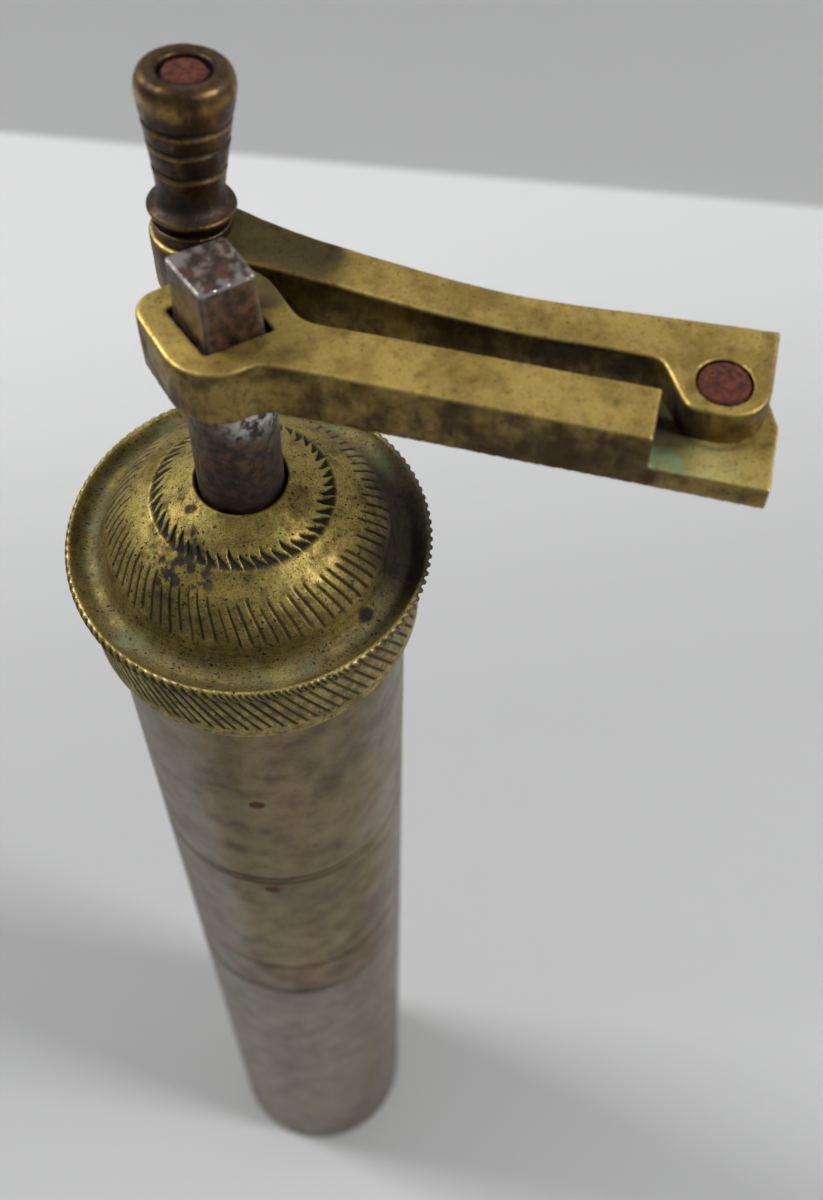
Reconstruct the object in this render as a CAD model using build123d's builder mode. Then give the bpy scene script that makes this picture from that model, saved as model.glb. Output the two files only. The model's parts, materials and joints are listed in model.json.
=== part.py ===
from build123d import *
import os
from math import cos, radians, sin, sqrt, tan

os.makedirs("parts", exist_ok=True)

# A hand-held cylindrical coffee mill. All sizes are in millimetres. The mill stands on its base at
# z = 0, its axis is the Z axis, and the crank points along CRANK_TURN, with its knob folded back.

# ---- Fits ------------------------------------------------------------------------------------------
RUN_GAP = 0.05            # radial clearance of every running or sliding fit
EDGE_BREAK = 0.3          # small chamfer on turned edges
OVERRUN = 1.0             # how far pins and cuts run past a surface before they are trimmed

# ---- The two tubes ---------------------------------------------------------------------------------
TUBE_R = 23.0             # outside radius of receiver and hopper
WALL = 1.2                # sheet thickness of both tubes
BORE_R = TUBE_R - WALL
SEAM_Z = 142.9            # where the hopper stands on the receiver
HOPPER_TOP_Z = 285.5
BASE_THICK = 1.8
FOOT_ROUND = 0.9          # rolled outer edge at the foot
GROOVE_ZS = (159.2, 207.7, 209.7)   # one turned line low down, and a pair at half height
GROOVE_WIDE = 0.7
GROOVE_DEEP = 0.25

# ---- Spigot sleeve between the tubes ---------------------------------------------------------------
SLEEVE_LOW_Z = 125.0
SLEEVE_TOP_Z = 165.0
SLEEVE_WALL = 1.15
SLEEVE_BORE_R = BORE_R - SLEEVE_WALL

# ---- Lid -------------------------------------------------------------------------------------------
SKIRT_LOW_Z = 271.9
SKIRT_R = 25.2
SKIRT_ROUND = 0.8
LIP_R = 26.9              # edge of the lid's flange
LIP_TOP_Z = 288.8
LIP_LOW_Z = 286.4
LIP_ROUND = 0.9
TROUGH_R = 23.9           # lowest ring of the hollow between the flange and the dome
TROUGH_Z = 287.0
DOME_FOOT = (21.6, 289.0)
DOME_HIP = (20.2, 292.4)
DOME_SHOULDER = (17.2, 296.4)
DOME_RING = (12.9, 299.4)
DOME_FOOT_SLOPE = (1, -1.4)
DOME_TOP_Z = 303.3
LID_HOLE_R = 6.44
LID_SHEET = 1.3

# ---- Spindle ---------------------------------------------------------------------------------------
SPINDLE_R = 6.03
SPINDLE_LOW_Z = 142.2
JOURNAL_R = 4.0           # the thinner lower end
JOURNAL_TOP_Z = 184.0
SHOULDER_Z = 326.3        # the crank rests here
SQUARE_FOOT = 8.1         # side of the square under the crank
SQUARE_TIP = 7.3          # side of the square at its top
SPINDLE_TOP_Z = 344.6

# ---- Bridges, burrs, adjuster ----------------------------------------------------------------------
BRIDGE_TURN = -102.0      # direction in which the upper bridge crosses the tube
UPPER_BRIDGE_Z = 243.0    # mid height
BRIDGE_THICK = 7.0
BRIDGE_WIDE = 12.0
BRIDGE_HUB_R = 9.0
PIN_R = 1.5
PIN_DEPTH = 5.0           # how far a wall pin enters the piece that it holds
RING_LOW_Z = 190.0
RING_TOP_Z = 214.0
RING_PIN_Z = 204.5
RING_THROAT_LOW_R = 16.0
RING_THROAT_TOP_R = 15.1
RING_MOUTH_R = 19.8       # chamfered mouth that feeds the beans in
RING_MOUTH_DEEP = 6.0
RING_TEETH = 24
RING_TOOTH_DEEP = 1.4
RING_TOOTH_WIDE = 2.4
CONE_LOW_R = 15.5
CONE_MID_R = 14.0
CONE_TOP_R = 8.6
CONE_MID_Z = 198.0
CONE_TOP_Z = 217.0
CONE_HUB_R = 9.0
CONE_HUB_LOW_Z = 185.0
CONE_TEETH = 14
CONE_TOOTH_DEEP = 1.6
CONE_TOOTH_WIDE = 3.0
CONE_SLOPE = Vector(CONE_TOP_R - CONE_LOW_R, 0, CONE_TOP_Z - RING_LOW_Z)
FLUTE_OVERRUN = 0.1       # share of the cone's length that a flute runs past each end
CONE_PIN_R = 1.25
CONE_PIN_Z = 187.5
LOWER_BRIDGE_TURN = -12.0
LOWER_BRIDGE_Z = 131.5
SCREW_R = 3.0
SCREW_TOP_Z = 138.4
THUMB_LOW_Z = 112.0
THUMB_TOP_Z = 121.0
THUMB_WIDE = 15.0
THUMB_THICK = 2.6
THUMB_ROUND = 2.0
COLLAR_R = 4.6
COLLAR_HIGH = 3.0
BALL_R = 2.5
BALL_Z = 140.3

# ---- Crank -----------------------------------------------------------------------------------------
# The crank's own frame has its x along the inner arm and its y across it, from the spindle's axis.
CRANK_TURN = -23.0
ARM_LOW_Z = SHOULDER_Z
ARM_TOP_Z = 335.5
LAP_Z = 330.1             # the two halves of the lap joint meet here
LAP_GAP = 0.05
ARM_FRONT_Y = -5.5        # front side of the inner arm
ARM_BACK_Y = 2.4          # back side of the inner arm
ARM_SHOULDER_X = 54.0     # the inner arm is full height up to here
OUTER_SHOULDER_X = 53.2   # the outer arm is full height up to here
LAP_TURN_R = 8.2          # round side of the inner lap, which turns inside the outer arm's shoulder
LAP_TURN_GAP = 0.2
EYE_REACH = 12.0          # half diagonal of the diamond round the square, before rounding
EYE_NOSE_ROUND = 3.5
EYE_SIDE_ROUND = 7.0
EYE_NECK_ROUND = 5.0
HOLE_LONG = 6.9           # half diagonals of the worn square hole
HOLE_WIDE = 6.0
PIVOT = (61.0, 5.0)       # hinge rivet in the crank's frame
PIVOT_R = 2.4
RIVET_HEAD_R = 3.2
RIVET_HEAD_DEEP = 1.6
RIVET_HEAD_GAP = 0.3      # dark ring round the rivet's head
RIVET_FOOT_R = 3.4
RIVET_FOOT_HIGH = 1.2
BOSS_R = 4.9              # from the pivot to the round side of each lap
LAP_NECK = (3.8, 7.9)     # how far before the pivot the slanting neck of the outer lap starts and ends
LAP_ROUND = 2.5
INNER_END_X = 68.7
INNER_BEVEL = (0.7, 2.6)  # the inner lap's end is square up to 0.7 before the pivot, then slants by 2.6
OUTER_END_X = 66.7
OUTER_END_Y = 14.6
OUTER_BACK = ((50.0, 13.6), (36.0, 12.8), (20.0, 14.2), (3.8, 16.8), (-4.2, 19.1))
OUTER_BACK_SLOPES = ((-1, -0.06), (-1, 0.35))
OUTER_FRONT = ((4.3, 9.6), (18.8, 7.9), (37.0, 6.7), (50.0, 6.9))
ARM_EDGE = 0.5            # filed round on the arms' long edges

# ---- Knob ------------------------------------------------------------------------------------------
# The knob's pin is bent, so the knob leans. Its radii and heights are along its own leaning axis.
KNOB_AT = (-7.9, 14.46)   # where that axis meets the arm's top, in the crank's frame
KNOB_LEAN = (0.9, 8.7)    # degrees that it leans along the crank and across it
KNOB_END_R = 5.7          # round end of the outer arm
KNOB_END_TURN = 20.0      # where the round end runs into the front side
KNOB_PIN_R = 1.7
WASHER_R = 5.1
WASHER_THICK = 1.3        # at the axis; the washer is a wedge between the level arm and the leaning knob
KNOB_LOW = WASHER_THICK + RUN_GAP
KNOB_HIGH = 20.75
KNOB_FOOT_R = 4.7
KNOB_COLLAR_LOW = (5.1, 1.2)        # (radius, height) where the collar's rounded edge starts
KNOB_COLLAR = (5.67, 1.95)
KNOB_COLLAR_TOP = (5.1, 2.75)
KNOB_NECK = (4.25, 3.6)
KNOB_BARREL = ((4.45, 5.9), (4.75, 8.5), (5.04, 10.6), (5.4, 13.6))
KNOB_HEAD = (6.1, 18.3)
KNOB_CREST = (4.7, KNOB_HIGH)
KNOB_RECESS = (3.4, 20.4)           # edge of the recess in the head
KNOB_RINGS = ((7.9, 4.68), (11.6, 5.17), (14.5, 5.5))
KNOB_RING_DEEP = 0.35
KNOB_RECESS_LOW = 19.0
PIN_HEAD_R = 2.75
PIN_HEAD_THICK = 1.3


def radial_plane(turn, radius, height):
    """A plane that faces outwards from the mill's axis, at one direction, radius and height."""
    across = cos(radians(turn))
    away = sin(radians(turn))
    return Plane(origin=(radius * across, radius * away, height), z_dir=(across, away, 0))


def bar_plane(turn, height):
    """A level plane whose x runs along a bridge."""
    return Plane(origin=(0, 0, height), x_dir=(cos(radians(turn)), sin(radians(turn)), 0), z_dir=(0, 0, 1))


def crank_plane(height):
    """A level plane in the crank's own frame."""
    return bar_plane(CRANK_TURN, height)


# The knob's axis, from the arm's top upwards.
KNOB_FOOT = crank_plane(ARM_TOP_Z).from_local_coords(Vector(*KNOB_AT, 0))
knob_slopes = [tan(radians(lean)) for lean in KNOB_LEAN]
KNOB_AXIS = crank_plane(0).from_local_coords(Vector(*knob_slopes, 1)).normalized()


def knob_plane(height):
    """A plane square to the knob's axis."""
    return Plane(origin=KNOB_FOOT + KNOB_AXIS * height, z_dir=KNOB_AXIS)


def wall_pins(turn, outer_r, height):
    """Two pins through a tube wall, at opposite ends of one diameter, filed flush outside."""
    with BuildPart() as pins:
        for half_turn in (0, 180):
            with BuildSketch(radial_plane(turn + half_turn, outer_r - WALL - PIN_DEPTH, height)):
                Circle(PIN_R)
            extrude(amount=WALL + PIN_DEPTH + OVERRUN)
        with BuildSketch(Plane.XY.offset(height - 2 * PIN_R)):
            Circle(outer_r)
        extrude(amount=4 * PIN_R, mode=Mode.INTERSECT)
    return pins


def drill_wall_pins(turn, outer_r, height):
    """Cuts the holes of wall_pins in the part being built."""
    for half_turn in (0, 180):
        with BuildSketch(radial_plane(turn + half_turn, outer_r - WALL - PIN_DEPTH, height)) as hole:
            Circle(PIN_R)
        extrude(hole.sketch, amount=WALL + PIN_DEPTH + OVERRUN, mode=Mode.SUBTRACT)


def ring_groove(height):
    """Cuts one fine turned line round the outside of a tube."""
    with BuildSketch(Plane.XZ) as groove:
        with Locations((TUBE_R, height)):
            Rectangle(2 * GROOVE_DEEP, GROOVE_WIDE)
    revolve(groove.sketch, axis=Axis.Z, mode=Mode.SUBTRACT)


# ==== Receiver: the lower cup that catches the ground coffee ==========================================
with BuildPart() as receiver_tube:
    with BuildSketch(Plane.XY):
        Circle(TUBE_R)
        Circle(BORE_R, mode=Mode.SUBTRACT)
    extrude(amount=SEAM_Z)
    outer_rims = receiver_tube.edges().filter_by(GeomType.CIRCLE).group_by(SortBy.RADIUS)[-1]
    fillet(outer_rims.sort_by(Axis.Z)[0], FOOT_ROUND)
    outer_rims = receiver_tube.edges().filter_by(GeomType.CIRCLE).group_by(SortBy.RADIUS)[-1]
    chamfer(outer_rims.sort_by(Axis.Z)[-1], EDGE_BREAK)

with BuildPart() as receiver_base:
    with BuildSketch(Plane.XY):
        Circle(BORE_R)
    extrude(amount=BASE_THICK)

# ==== Upper body: hopper tube, spigot sleeve and what is pinned inside them ===========================
with BuildPart() as hopper_tube:
    with BuildSketch(Plane.XY.offset(SEAM_Z)):
        Circle(TUBE_R)
        Circle(BORE_R, mode=Mode.SUBTRACT)
    extrude(amount=HOPPER_TOP_Z - SEAM_Z)
    outer_rims = hopper_tube.edges().filter_by(GeomType.CIRCLE).group_by(SortBy.RADIUS)[-1]
    chamfer(outer_rims, EDGE_BREAK)
    for groove_z in GROOVE_ZS:
        ring_groove(groove_z)
    drill_wall_pins(BRIDGE_TURN, TUBE_R, UPPER_BRIDGE_Z)
    drill_wall_pins(BRIDGE_TURN, TUBE_R, RING_PIN_Z)

with BuildPart() as spigot_sleeve:
    with BuildSketch(Plane.XZ):
        with BuildLine():
            Polyline(
                (SLEEVE_BORE_R, SLEEVE_LOW_Z),
                (BORE_R - RUN_GAP, SLEEVE_LOW_Z),
                (BORE_R - RUN_GAP, SEAM_Z),
                (BORE_R, SEAM_Z),
                (BORE_R, SLEEVE_TOP_Z),
                (SLEEVE_BORE_R, SLEEVE_TOP_Z),
                close=True,
            )
        make_face()
    revolve(axis=Axis.Z)
    drill_wall_pins(LOWER_BRIDGE_TURN, BORE_R - RUN_GAP, LOWER_BRIDGE_Z)

with BuildPart() as upper_bridge:
    with BuildSketch(bar_plane(BRIDGE_TURN, UPPER_BRIDGE_Z - BRIDGE_THICK / 2)):
        Rectangle(2 * TUBE_R, BRIDGE_WIDE)
        Circle(BRIDGE_HUB_R)
        Circle(SPINDLE_R + RUN_GAP, mode=Mode.SUBTRACT)
    extrude(amount=BRIDGE_THICK)
    with BuildSketch(Plane.XY.offset(UPPER_BRIDGE_Z - BRIDGE_THICK)):
        Circle(BORE_R)
    extrude(amount=2 * BRIDGE_THICK, mode=Mode.INTERSECT)
    drill_wall_pins(BRIDGE_TURN, TUBE_R, UPPER_BRIDGE_Z)

upper_bridge_rivets = wall_pins(BRIDGE_TURN, TUBE_R, UPPER_BRIDGE_Z)

with BuildPart() as burr_ring_blank:
    with BuildSketch(Plane.XZ):
        with BuildLine():
            Polyline(
                (RING_THROAT_LOW_R, RING_LOW_Z),
                (BORE_R, RING_LOW_Z),
                (BORE_R, RING_TOP_Z),
                (RING_MOUTH_R, RING_TOP_Z),
                (RING_THROAT_TOP_R, RING_TOP_Z - RING_MOUTH_DEEP),
                close=True,
            )
        make_face()
    revolve(axis=Axis.Z)

with BuildPart() as burr_ring:
    add(burr_ring_blank.part)
    with BuildSketch(Plane.XY.offset(RING_LOW_Z)):
        with PolarLocations(0, RING_TEETH):
            with BuildLine():
                Polyline(
                    (RING_THROAT_TOP_R - RING_TOOTH_DEEP, -RING_TOOTH_WIDE),
                    (RING_THROAT_LOW_R + RING_TOOTH_DEEP, 0),
                    (RING_THROAT_TOP_R - RING_TOOTH_DEEP, 0),
                    close=True,
                )
            make_face()
    extrude(amount=RING_TOP_Z - RING_LOW_Z, mode=Mode.SUBTRACT)
    drill_wall_pins(BRIDGE_TURN, TUBE_R, RING_PIN_Z)

burr_ring_pins = wall_pins(BRIDGE_TURN, TUBE_R, RING_PIN_Z)

with BuildPart() as lower_bridge:
    with BuildSketch(bar_plane(LOWER_BRIDGE_TURN, LOWER_BRIDGE_Z - BRIDGE_THICK / 2)):
        Rectangle(2 * TUBE_R, BRIDGE_WIDE)
        Circle(BRIDGE_HUB_R)
        Circle(SCREW_R + RUN_GAP, mode=Mode.SUBTRACT)
    extrude(amount=BRIDGE_THICK)
    with BuildSketch(Plane.XY.offset(LOWER_BRIDGE_Z - BRIDGE_THICK)):
        Circle(SLEEVE_BORE_R)
    extrude(amount=2 * BRIDGE_THICK, mode=Mode.INTERSECT)
    drill_wall_pins(LOWER_BRIDGE_TURN, BORE_R - RUN_GAP, LOWER_BRIDGE_Z)

lower_bridge_rivets = wall_pins(LOWER_BRIDGE_TURN, BORE_R - RUN_GAP, LOWER_BRIDGE_Z)

# ==== Lid: a spun dome soldered on a skirt that slides over the tube ===================================
with BuildPart() as lid_skirt:
    with BuildSketch(Plane.XZ):
        with BuildLine():
            Polyline(
                (TUBE_R + RUN_GAP, SKIRT_LOW_Z),
                (SKIRT_R, SKIRT_LOW_Z),
                (SKIRT_R, HOPPER_TOP_Z),
                (TUBE_R + RUN_GAP, HOPPER_TOP_Z),
                close=True,
            )
        make_face()
    revolve(axis=Axis.Z)
    outer_rims = lid_skirt.edges().filter_by(GeomType.CIRCLE).group_by(SortBy.RADIUS)[-1]
    fillet(outer_rims.sort_by(Axis.Z)[0], SKIRT_ROUND)

with BuildPart() as lid_dome:
    with BuildSketch(Plane.XZ):
        with BuildLine():
            dome_top = Spline(
                (LID_HOLE_R + EDGE_BREAK, DOME_TOP_Z),
                DOME_RING,
                DOME_SHOULDER,
                DOME_HIP,
                DOME_FOOT,
                tangents=[(DOME_RING[0] - LID_HOLE_R, DOME_RING[1] - DOME_TOP_Z), DOME_FOOT_SLOPE],
            )
            trough = ThreePointArc(dome_top @ 1, (TROUGH_R, TROUGH_Z), (LIP_R - LIP_ROUND, LIP_TOP_Z))
            ThreePointArc(
                trough @ 1,
                (LIP_R, (LIP_TOP_Z + LIP_LOW_Z) / 2),
                (LIP_R - LIP_ROUND, LIP_LOW_Z),
            )
            Polyline(
                (LIP_R - LIP_ROUND, LIP_LOW_Z),
                (SKIRT_R, HOPPER_TOP_Z),
                (DOME_HIP[0] - LID_SHEET, HOPPER_TOP_Z),
            )
            Spline(
                (DOME_HIP[0] - LID_SHEET, HOPPER_TOP_Z),
                (DOME_HIP[0] - LID_SHEET, DOME_HIP[1] - LID_SHEET),
                (DOME_RING[0] - LID_SHEET / 2, DOME_RING[1] - LID_SHEET),
                (LID_HOLE_R, DOME_TOP_Z - EDGE_BREAK - LID_SHEET),
            )
            Polyline(
                (LID_HOLE_R, DOME_TOP_Z - EDGE_BREAK - LID_SHEET),
                (LID_HOLE_R, DOME_TOP_Z - EDGE_BREAK),
                (LID_HOLE_R + EDGE_BREAK, DOME_TOP_Z),
            )
        make_face()
    revolve(axis=Axis.Z)

# ==== Spindle, its burr cone and the pin that joins them ===============================================
with BuildPart() as spindle:
    with BuildSketch(Plane.XZ):
        with BuildLine():
            Polyline(
                (0, SPINDLE_LOW_Z),
                (JOURNAL_R, SPINDLE_LOW_Z),
                (JOURNAL_R, JOURNAL_TOP_Z),
                (SPINDLE_R, JOURNAL_TOP_Z + SPINDLE_R - JOURNAL_R),
                (SPINDLE_R, SHOULDER_Z),
                (0, SHOULDER_Z),
                close=True,
            )
        make_face()
    revolve(axis=Axis.Z)
    with BuildSketch(crank_plane(SHOULDER_Z)):
        Rectangle(SQUARE_FOOT, SQUARE_FOOT, rotation=45)
    with BuildSketch(crank_plane(SPINDLE_TOP_Z)):
        Rectangle(SQUARE_TIP, SQUARE_TIP, rotation=45)
    loft()
    chamfer(spindle.faces().sort_by(Axis.Z)[-1].edges(), EDGE_BREAK)
    with BuildSketch(Plane.XZ):
        with Locations((0, BALL_Z)):
            Circle(BALL_R + RUN_GAP)
        Rectangle(BORE_R, 2 * SPINDLE_TOP_Z, align=(Align.MIN, Align.CENTER), mode=Mode.INTERSECT)
    revolve(axis=Axis.Z, mode=Mode.SUBTRACT)
    with BuildSketch(Plane.XZ.offset(-CONE_HUB_R)):
        with Locations((0, CONE_PIN_Z)):
            Circle(CONE_PIN_R)
    extrude(amount=2 * CONE_HUB_R, mode=Mode.SUBTRACT)

with BuildPart() as burr_cone_blank:
    with BuildSketch(Plane.XZ):
        with BuildLine():
            Polyline(
                (SPINDLE_R, CONE_HUB_LOW_Z),
                (CONE_HUB_R, CONE_HUB_LOW_Z),
                (CONE_HUB_R, RING_LOW_Z),
                (CONE_LOW_R, RING_LOW_Z),
                (CONE_MID_R, CONE_MID_Z),
                (CONE_TOP_R, CONE_TOP_Z),
                (SPINDLE_R, CONE_TOP_Z),
                close=True,
            )
        make_face()
    revolve(axis=Axis.Z)

with BuildPart() as cone_flute:
    flute_foot = Vector(CONE_LOW_R, 0, RING_LOW_Z) - CONE_SLOPE * FLUTE_OVERRUN
    with BuildSketch(Plane(origin=flute_foot, x_dir=(0, 1, 0), z_dir=CONE_SLOPE)):
        with BuildLine():
            Polyline(
                (-CONE_TOOTH_WIDE / 2, CONE_TOOTH_DEEP),
                (CONE_TOOTH_WIDE / 2, CONE_TOOTH_DEEP),
                (CONE_TOOTH_WIDE / 2, -CONE_TOOTH_DEEP),
                close=True,
            )
        make_face()
    extrude(amount=CONE_SLOPE.length * (1 + 2 * FLUTE_OVERRUN))

with BuildPart() as burr_cone:
    add(burr_cone_blank.part)
    with PolarLocations(0, CONE_TEETH):
        add(cone_flute.part, mode=Mode.SUBTRACT)
    with BuildSketch(Plane.XZ.offset(-CONE_HUB_R)):
        with Locations((0, CONE_PIN_Z)):
            Circle(CONE_PIN_R)
    extrude(amount=2 * CONE_HUB_R, mode=Mode.SUBTRACT)

with BuildPart() as cone_pin:
    with BuildSketch(Plane.XZ.offset(-CONE_HUB_R)):
        with Locations((0, CONE_PIN_Z)):
            Circle(CONE_PIN_R)
    extrude(amount=2 * CONE_HUB_R)
    with BuildSketch(Plane.XY.offset(CONE_HUB_LOW_Z)):
        Circle(CONE_HUB_R)
    extrude(amount=RING_LOW_Z - CONE_HUB_LOW_Z, mode=Mode.INTERSECT)

# ==== Grind adjustment: a thumb screw under the spindle, with a ball between them =======================
with BuildPart() as thrust_ball:
    with BuildSketch(Plane.XZ):
        with Locations((0, BALL_Z)):
            Circle(BALL_R)
        Rectangle(BORE_R, 2 * SPINDLE_TOP_Z, align=(Align.MIN, Align.CENTER), mode=Mode.INTERSECT)
    revolve(axis=Axis.Z)

with BuildPart() as adjusting_screw:
    with BuildSketch(Plane.XY.offset(THUMB_TOP_Z)):
        Circle(SCREW_R)
    extrude(amount=SCREW_TOP_Z - THUMB_TOP_Z)
    with BuildSketch(Plane.XY.offset(THUMB_TOP_Z)):
        Circle(COLLAR_R)
    extrude(amount=COLLAR_HIGH)
    with BuildSketch(Plane.XZ.offset(-THUMB_THICK / 2)):
        with Locations((0, (THUMB_LOW_Z + THUMB_TOP_Z) / 2)):
            RectangleRounded(THUMB_WIDE, THUMB_TOP_Z - THUMB_LOW_Z, THUMB_ROUND)
    extrude(amount=THUMB_THICK)
    with BuildSketch(Plane.XZ):
        with Locations((0, BALL_Z)):
            Circle(BALL_R + RUN_GAP)
        Rectangle(BORE_R, 2 * SPINDLE_TOP_Z, align=(Align.MIN, Align.CENTER), mode=Mode.INTERSECT)
    revolve(axis=Axis.Z, mode=Mode.SUBTRACT)

# ==== Crank, inner half: an eye on the spindle's square, a bar, and the lower half of the lap joint =====
with BuildPart() as crank_inner_arm:
    with BuildSketch(crank_plane(ARM_LOW_Z)) as inner_outline:
        with BuildLine():
            Polyline((-EYE_REACH, 0), (0, -EYE_REACH), (EYE_REACH, 0), (0, EYE_REACH), close=True)
        make_face()
        fillet(inner_outline.vertices().sort_by(Axis.X)[0], EYE_NOSE_ROUND)
        fillet(inner_outline.vertices().sort_by(Axis.Y)[0], EYE_SIDE_ROUND)
        fillet(inner_outline.vertices().sort_by(Axis.Y)[-1], EYE_SIDE_ROUND)
        with Locations((0, ARM_FRONT_Y)):
            Rectangle(ARM_SHOULDER_X, ARM_BACK_Y - ARM_FRONT_Y, align=(Align.MIN, Align.MIN))
        for side_y in (ARM_FRONT_Y, ARM_BACK_Y):
            neck = inner_outline.vertices().sort_by_distance((EYE_REACH - abs(side_y), side_y))[0]
            fillet(neck, EYE_NECK_ROUND)
    extrude(amount=ARM_TOP_Z - ARM_LOW_Z)
    with BuildSketch(crank_plane(ARM_LOW_Z)) as inner_lap:
        end_corner = (INNER_END_X - INNER_BEVEL[1], PIVOT[1] + BOSS_R)
        round_start = (PIVOT[0] - sqrt(LAP_TURN_R**2 - BOSS_R**2), PIVOT[1] + BOSS_R)
        round_end = (PIVOT[0] - sqrt(LAP_TURN_R**2 - (PIVOT[1] - ARM_BACK_Y) ** 2), ARM_BACK_Y)
        with BuildLine():
            Polyline(
                round_end,
                (ARM_SHOULDER_X - LAP_ROUND, ARM_BACK_Y),
                (ARM_SHOULDER_X - LAP_ROUND, ARM_FRONT_Y),
                (INNER_END_X, ARM_FRONT_Y),
                (INNER_END_X, PIVOT[1] - INNER_BEVEL[0]),
                end_corner,
                round_start,
            )
            ThreePointArc(round_start, (PIVOT[0] - LAP_TURN_R, PIVOT[1]), round_end)
        make_face()
        fillet(inner_lap.vertices().sort_by_distance(end_corner)[0], LAP_ROUND)
    extrude(amount=LAP_Z - ARM_LOW_Z)
    fillet(crank_inner_arm.faces().sort_by(Axis.Z)[-1].outer_wire().edges(), ARM_EDGE)
    with BuildSketch(crank_plane(ARM_LOW_Z)):
        with BuildLine():
            Polyline((-HOLE_LONG, 0), (0, -HOLE_WIDE), (HOLE_LONG, 0), (0, HOLE_WIDE), close=True)
        make_face()
    extrude(amount=ARM_TOP_Z - ARM_LOW_Z, mode=Mode.SUBTRACT)
    with BuildSketch(crank_plane(ARM_LOW_Z)):
        with Locations(PIVOT):
            Circle(PIVOT_R)
    extrude(amount=ARM_TOP_Z - ARM_LOW_Z, mode=Mode.SUBTRACT)
    with BuildSketch(crank_plane(ARM_LOW_Z)):
        with Locations(PIVOT):
            Circle(RIVET_FOOT_R)
    extrude(amount=RIVET_FOOT_HIGH, mode=Mode.SUBTRACT)

with BuildPart() as hinge_rivet:
    with BuildSketch(crank_plane(ARM_LOW_Z)):
        with Locations(PIVOT):
            Circle(PIVOT_R)
    extrude(amount=ARM_TOP_Z - ARM_LOW_Z)
    with BuildSketch(crank_plane(ARM_LOW_Z)):
        with Locations(PIVOT):
            Circle(RIVET_FOOT_R)
    extrude(amount=RIVET_FOOT_HIGH)
    with BuildSketch(crank_plane(ARM_TOP_Z - RIVET_HEAD_DEEP + RUN_GAP)):
        with Locations(PIVOT):
            Circle(RIVET_HEAD_R)
    extrude(amount=RIVET_HEAD_DEEP)
    chamfer(hinge_rivet.faces().sort_by(Axis.Z)[-1].edges(), EDGE_BREAK)

# ==== Crank, outer half: a gooseneck bar over the lap joint, with the knob's pin at its far end =========
with BuildPart() as crank_outer_arm:
    with BuildSketch(crank_plane(ARM_LOW_Z)) as outer_outline:
        with BuildLine():
            back_side = Spline(OUTER_BACK, tangents=OUTER_BACK_SLOPES)
            end_across = KNOB_END_R * sin(radians(KNOB_END_TURN))
            end_ahead = KNOB_END_R * cos(radians(KNOB_END_TURN))
            knob_end = ThreePointArc(
                back_side @ 1,
                (KNOB_AT[0] - KNOB_END_R, KNOB_AT[1]),
                (KNOB_AT[0] + end_across, KNOB_AT[1] - end_ahead),
            )
            front_side = Spline(knob_end @ 1, *OUTER_FRONT, tangents=[knob_end % 1, (1, 0)])
            Line(front_side @ 1, back_side @ 0)
        make_face()
        neck_corner = (PIVOT[0] - LAP_NECK[1], OUTER_FRONT[-1][1])
        boss_corner = (PIVOT[0] - LAP_NECK[0], PIVOT[1] - BOSS_R)
        end_corner = (OUTER_END_X, PIVOT[1] - BOSS_R)
        with BuildLine():
            Polyline(
                front_side @ 1,
                neck_corner,
                boss_corner,
                end_corner,
                (OUTER_END_X, OUTER_END_Y),
                back_side @ 0,
                close=True,
            )
        make_face()
        for corner in (neck_corner, boss_corner):
            fillet(outer_outline.vertices().sort_by_distance(corner)[0], LAP_ROUND)
        fillet(outer_outline.vertices().sort_by_distance(end_corner)[0], BOSS_R)
    extrude(amount=ARM_TOP_Z - ARM_LOW_Z)
    fillet(crank_outer_arm.faces().sort_by(Axis.Z)[-1].outer_wire().edges(), ARM_EDGE)
    with BuildSketch(crank_plane(ARM_LOW_Z)):
        with Locations((OUTER_SHOULDER_X, 0)):
            Rectangle(2 * OUTER_SHOULDER_X, 4 * OUTER_END_Y, align=(Align.MIN, Align.CENTER))
        with Locations(PIVOT):
            Circle(LAP_TURN_R + LAP_TURN_GAP)
    extrude(amount=LAP_Z - ARM_LOW_Z + LAP_GAP, mode=Mode.SUBTRACT)
    with BuildSketch(crank_plane(ARM_LOW_Z)):
        with Locations(PIVOT):
            Circle(PIVOT_R + RUN_GAP)
    extrude(amount=ARM_TOP_Z - ARM_LOW_Z, mode=Mode.SUBTRACT)
    with BuildSketch(crank_plane(ARM_TOP_Z - RIVET_HEAD_DEEP)):
        with Locations(PIVOT):
            Circle(RIVET_HEAD_R + RIVET_HEAD_GAP)
    extrude(amount=RIVET_HEAD_DEEP, mode=Mode.SUBTRACT)
    with BuildSketch(knob_plane(ARM_LOW_Z - ARM_TOP_Z - OVERRUN)):
        Circle(KNOB_PIN_R)
    extrude(amount=ARM_TOP_Z - ARM_LOW_Z + 2 * OVERRUN, mode=Mode.SUBTRACT)

with BuildPart() as knob_washer:
    with BuildSketch(crank_plane(ARM_TOP_Z)):
        with Locations(KNOB_AT):
            Circle(WASHER_R)
    extrude(amount=2 * WASHER_THICK)
    split(bisect_by=knob_plane(WASHER_THICK), keep=Keep.BOTTOM)
    with BuildSketch(knob_plane(-OVERRUN)):
        Circle(KNOB_PIN_R)
    extrude(amount=WASHER_THICK + 2 * OVERRUN, mode=Mode.SUBTRACT)

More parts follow.
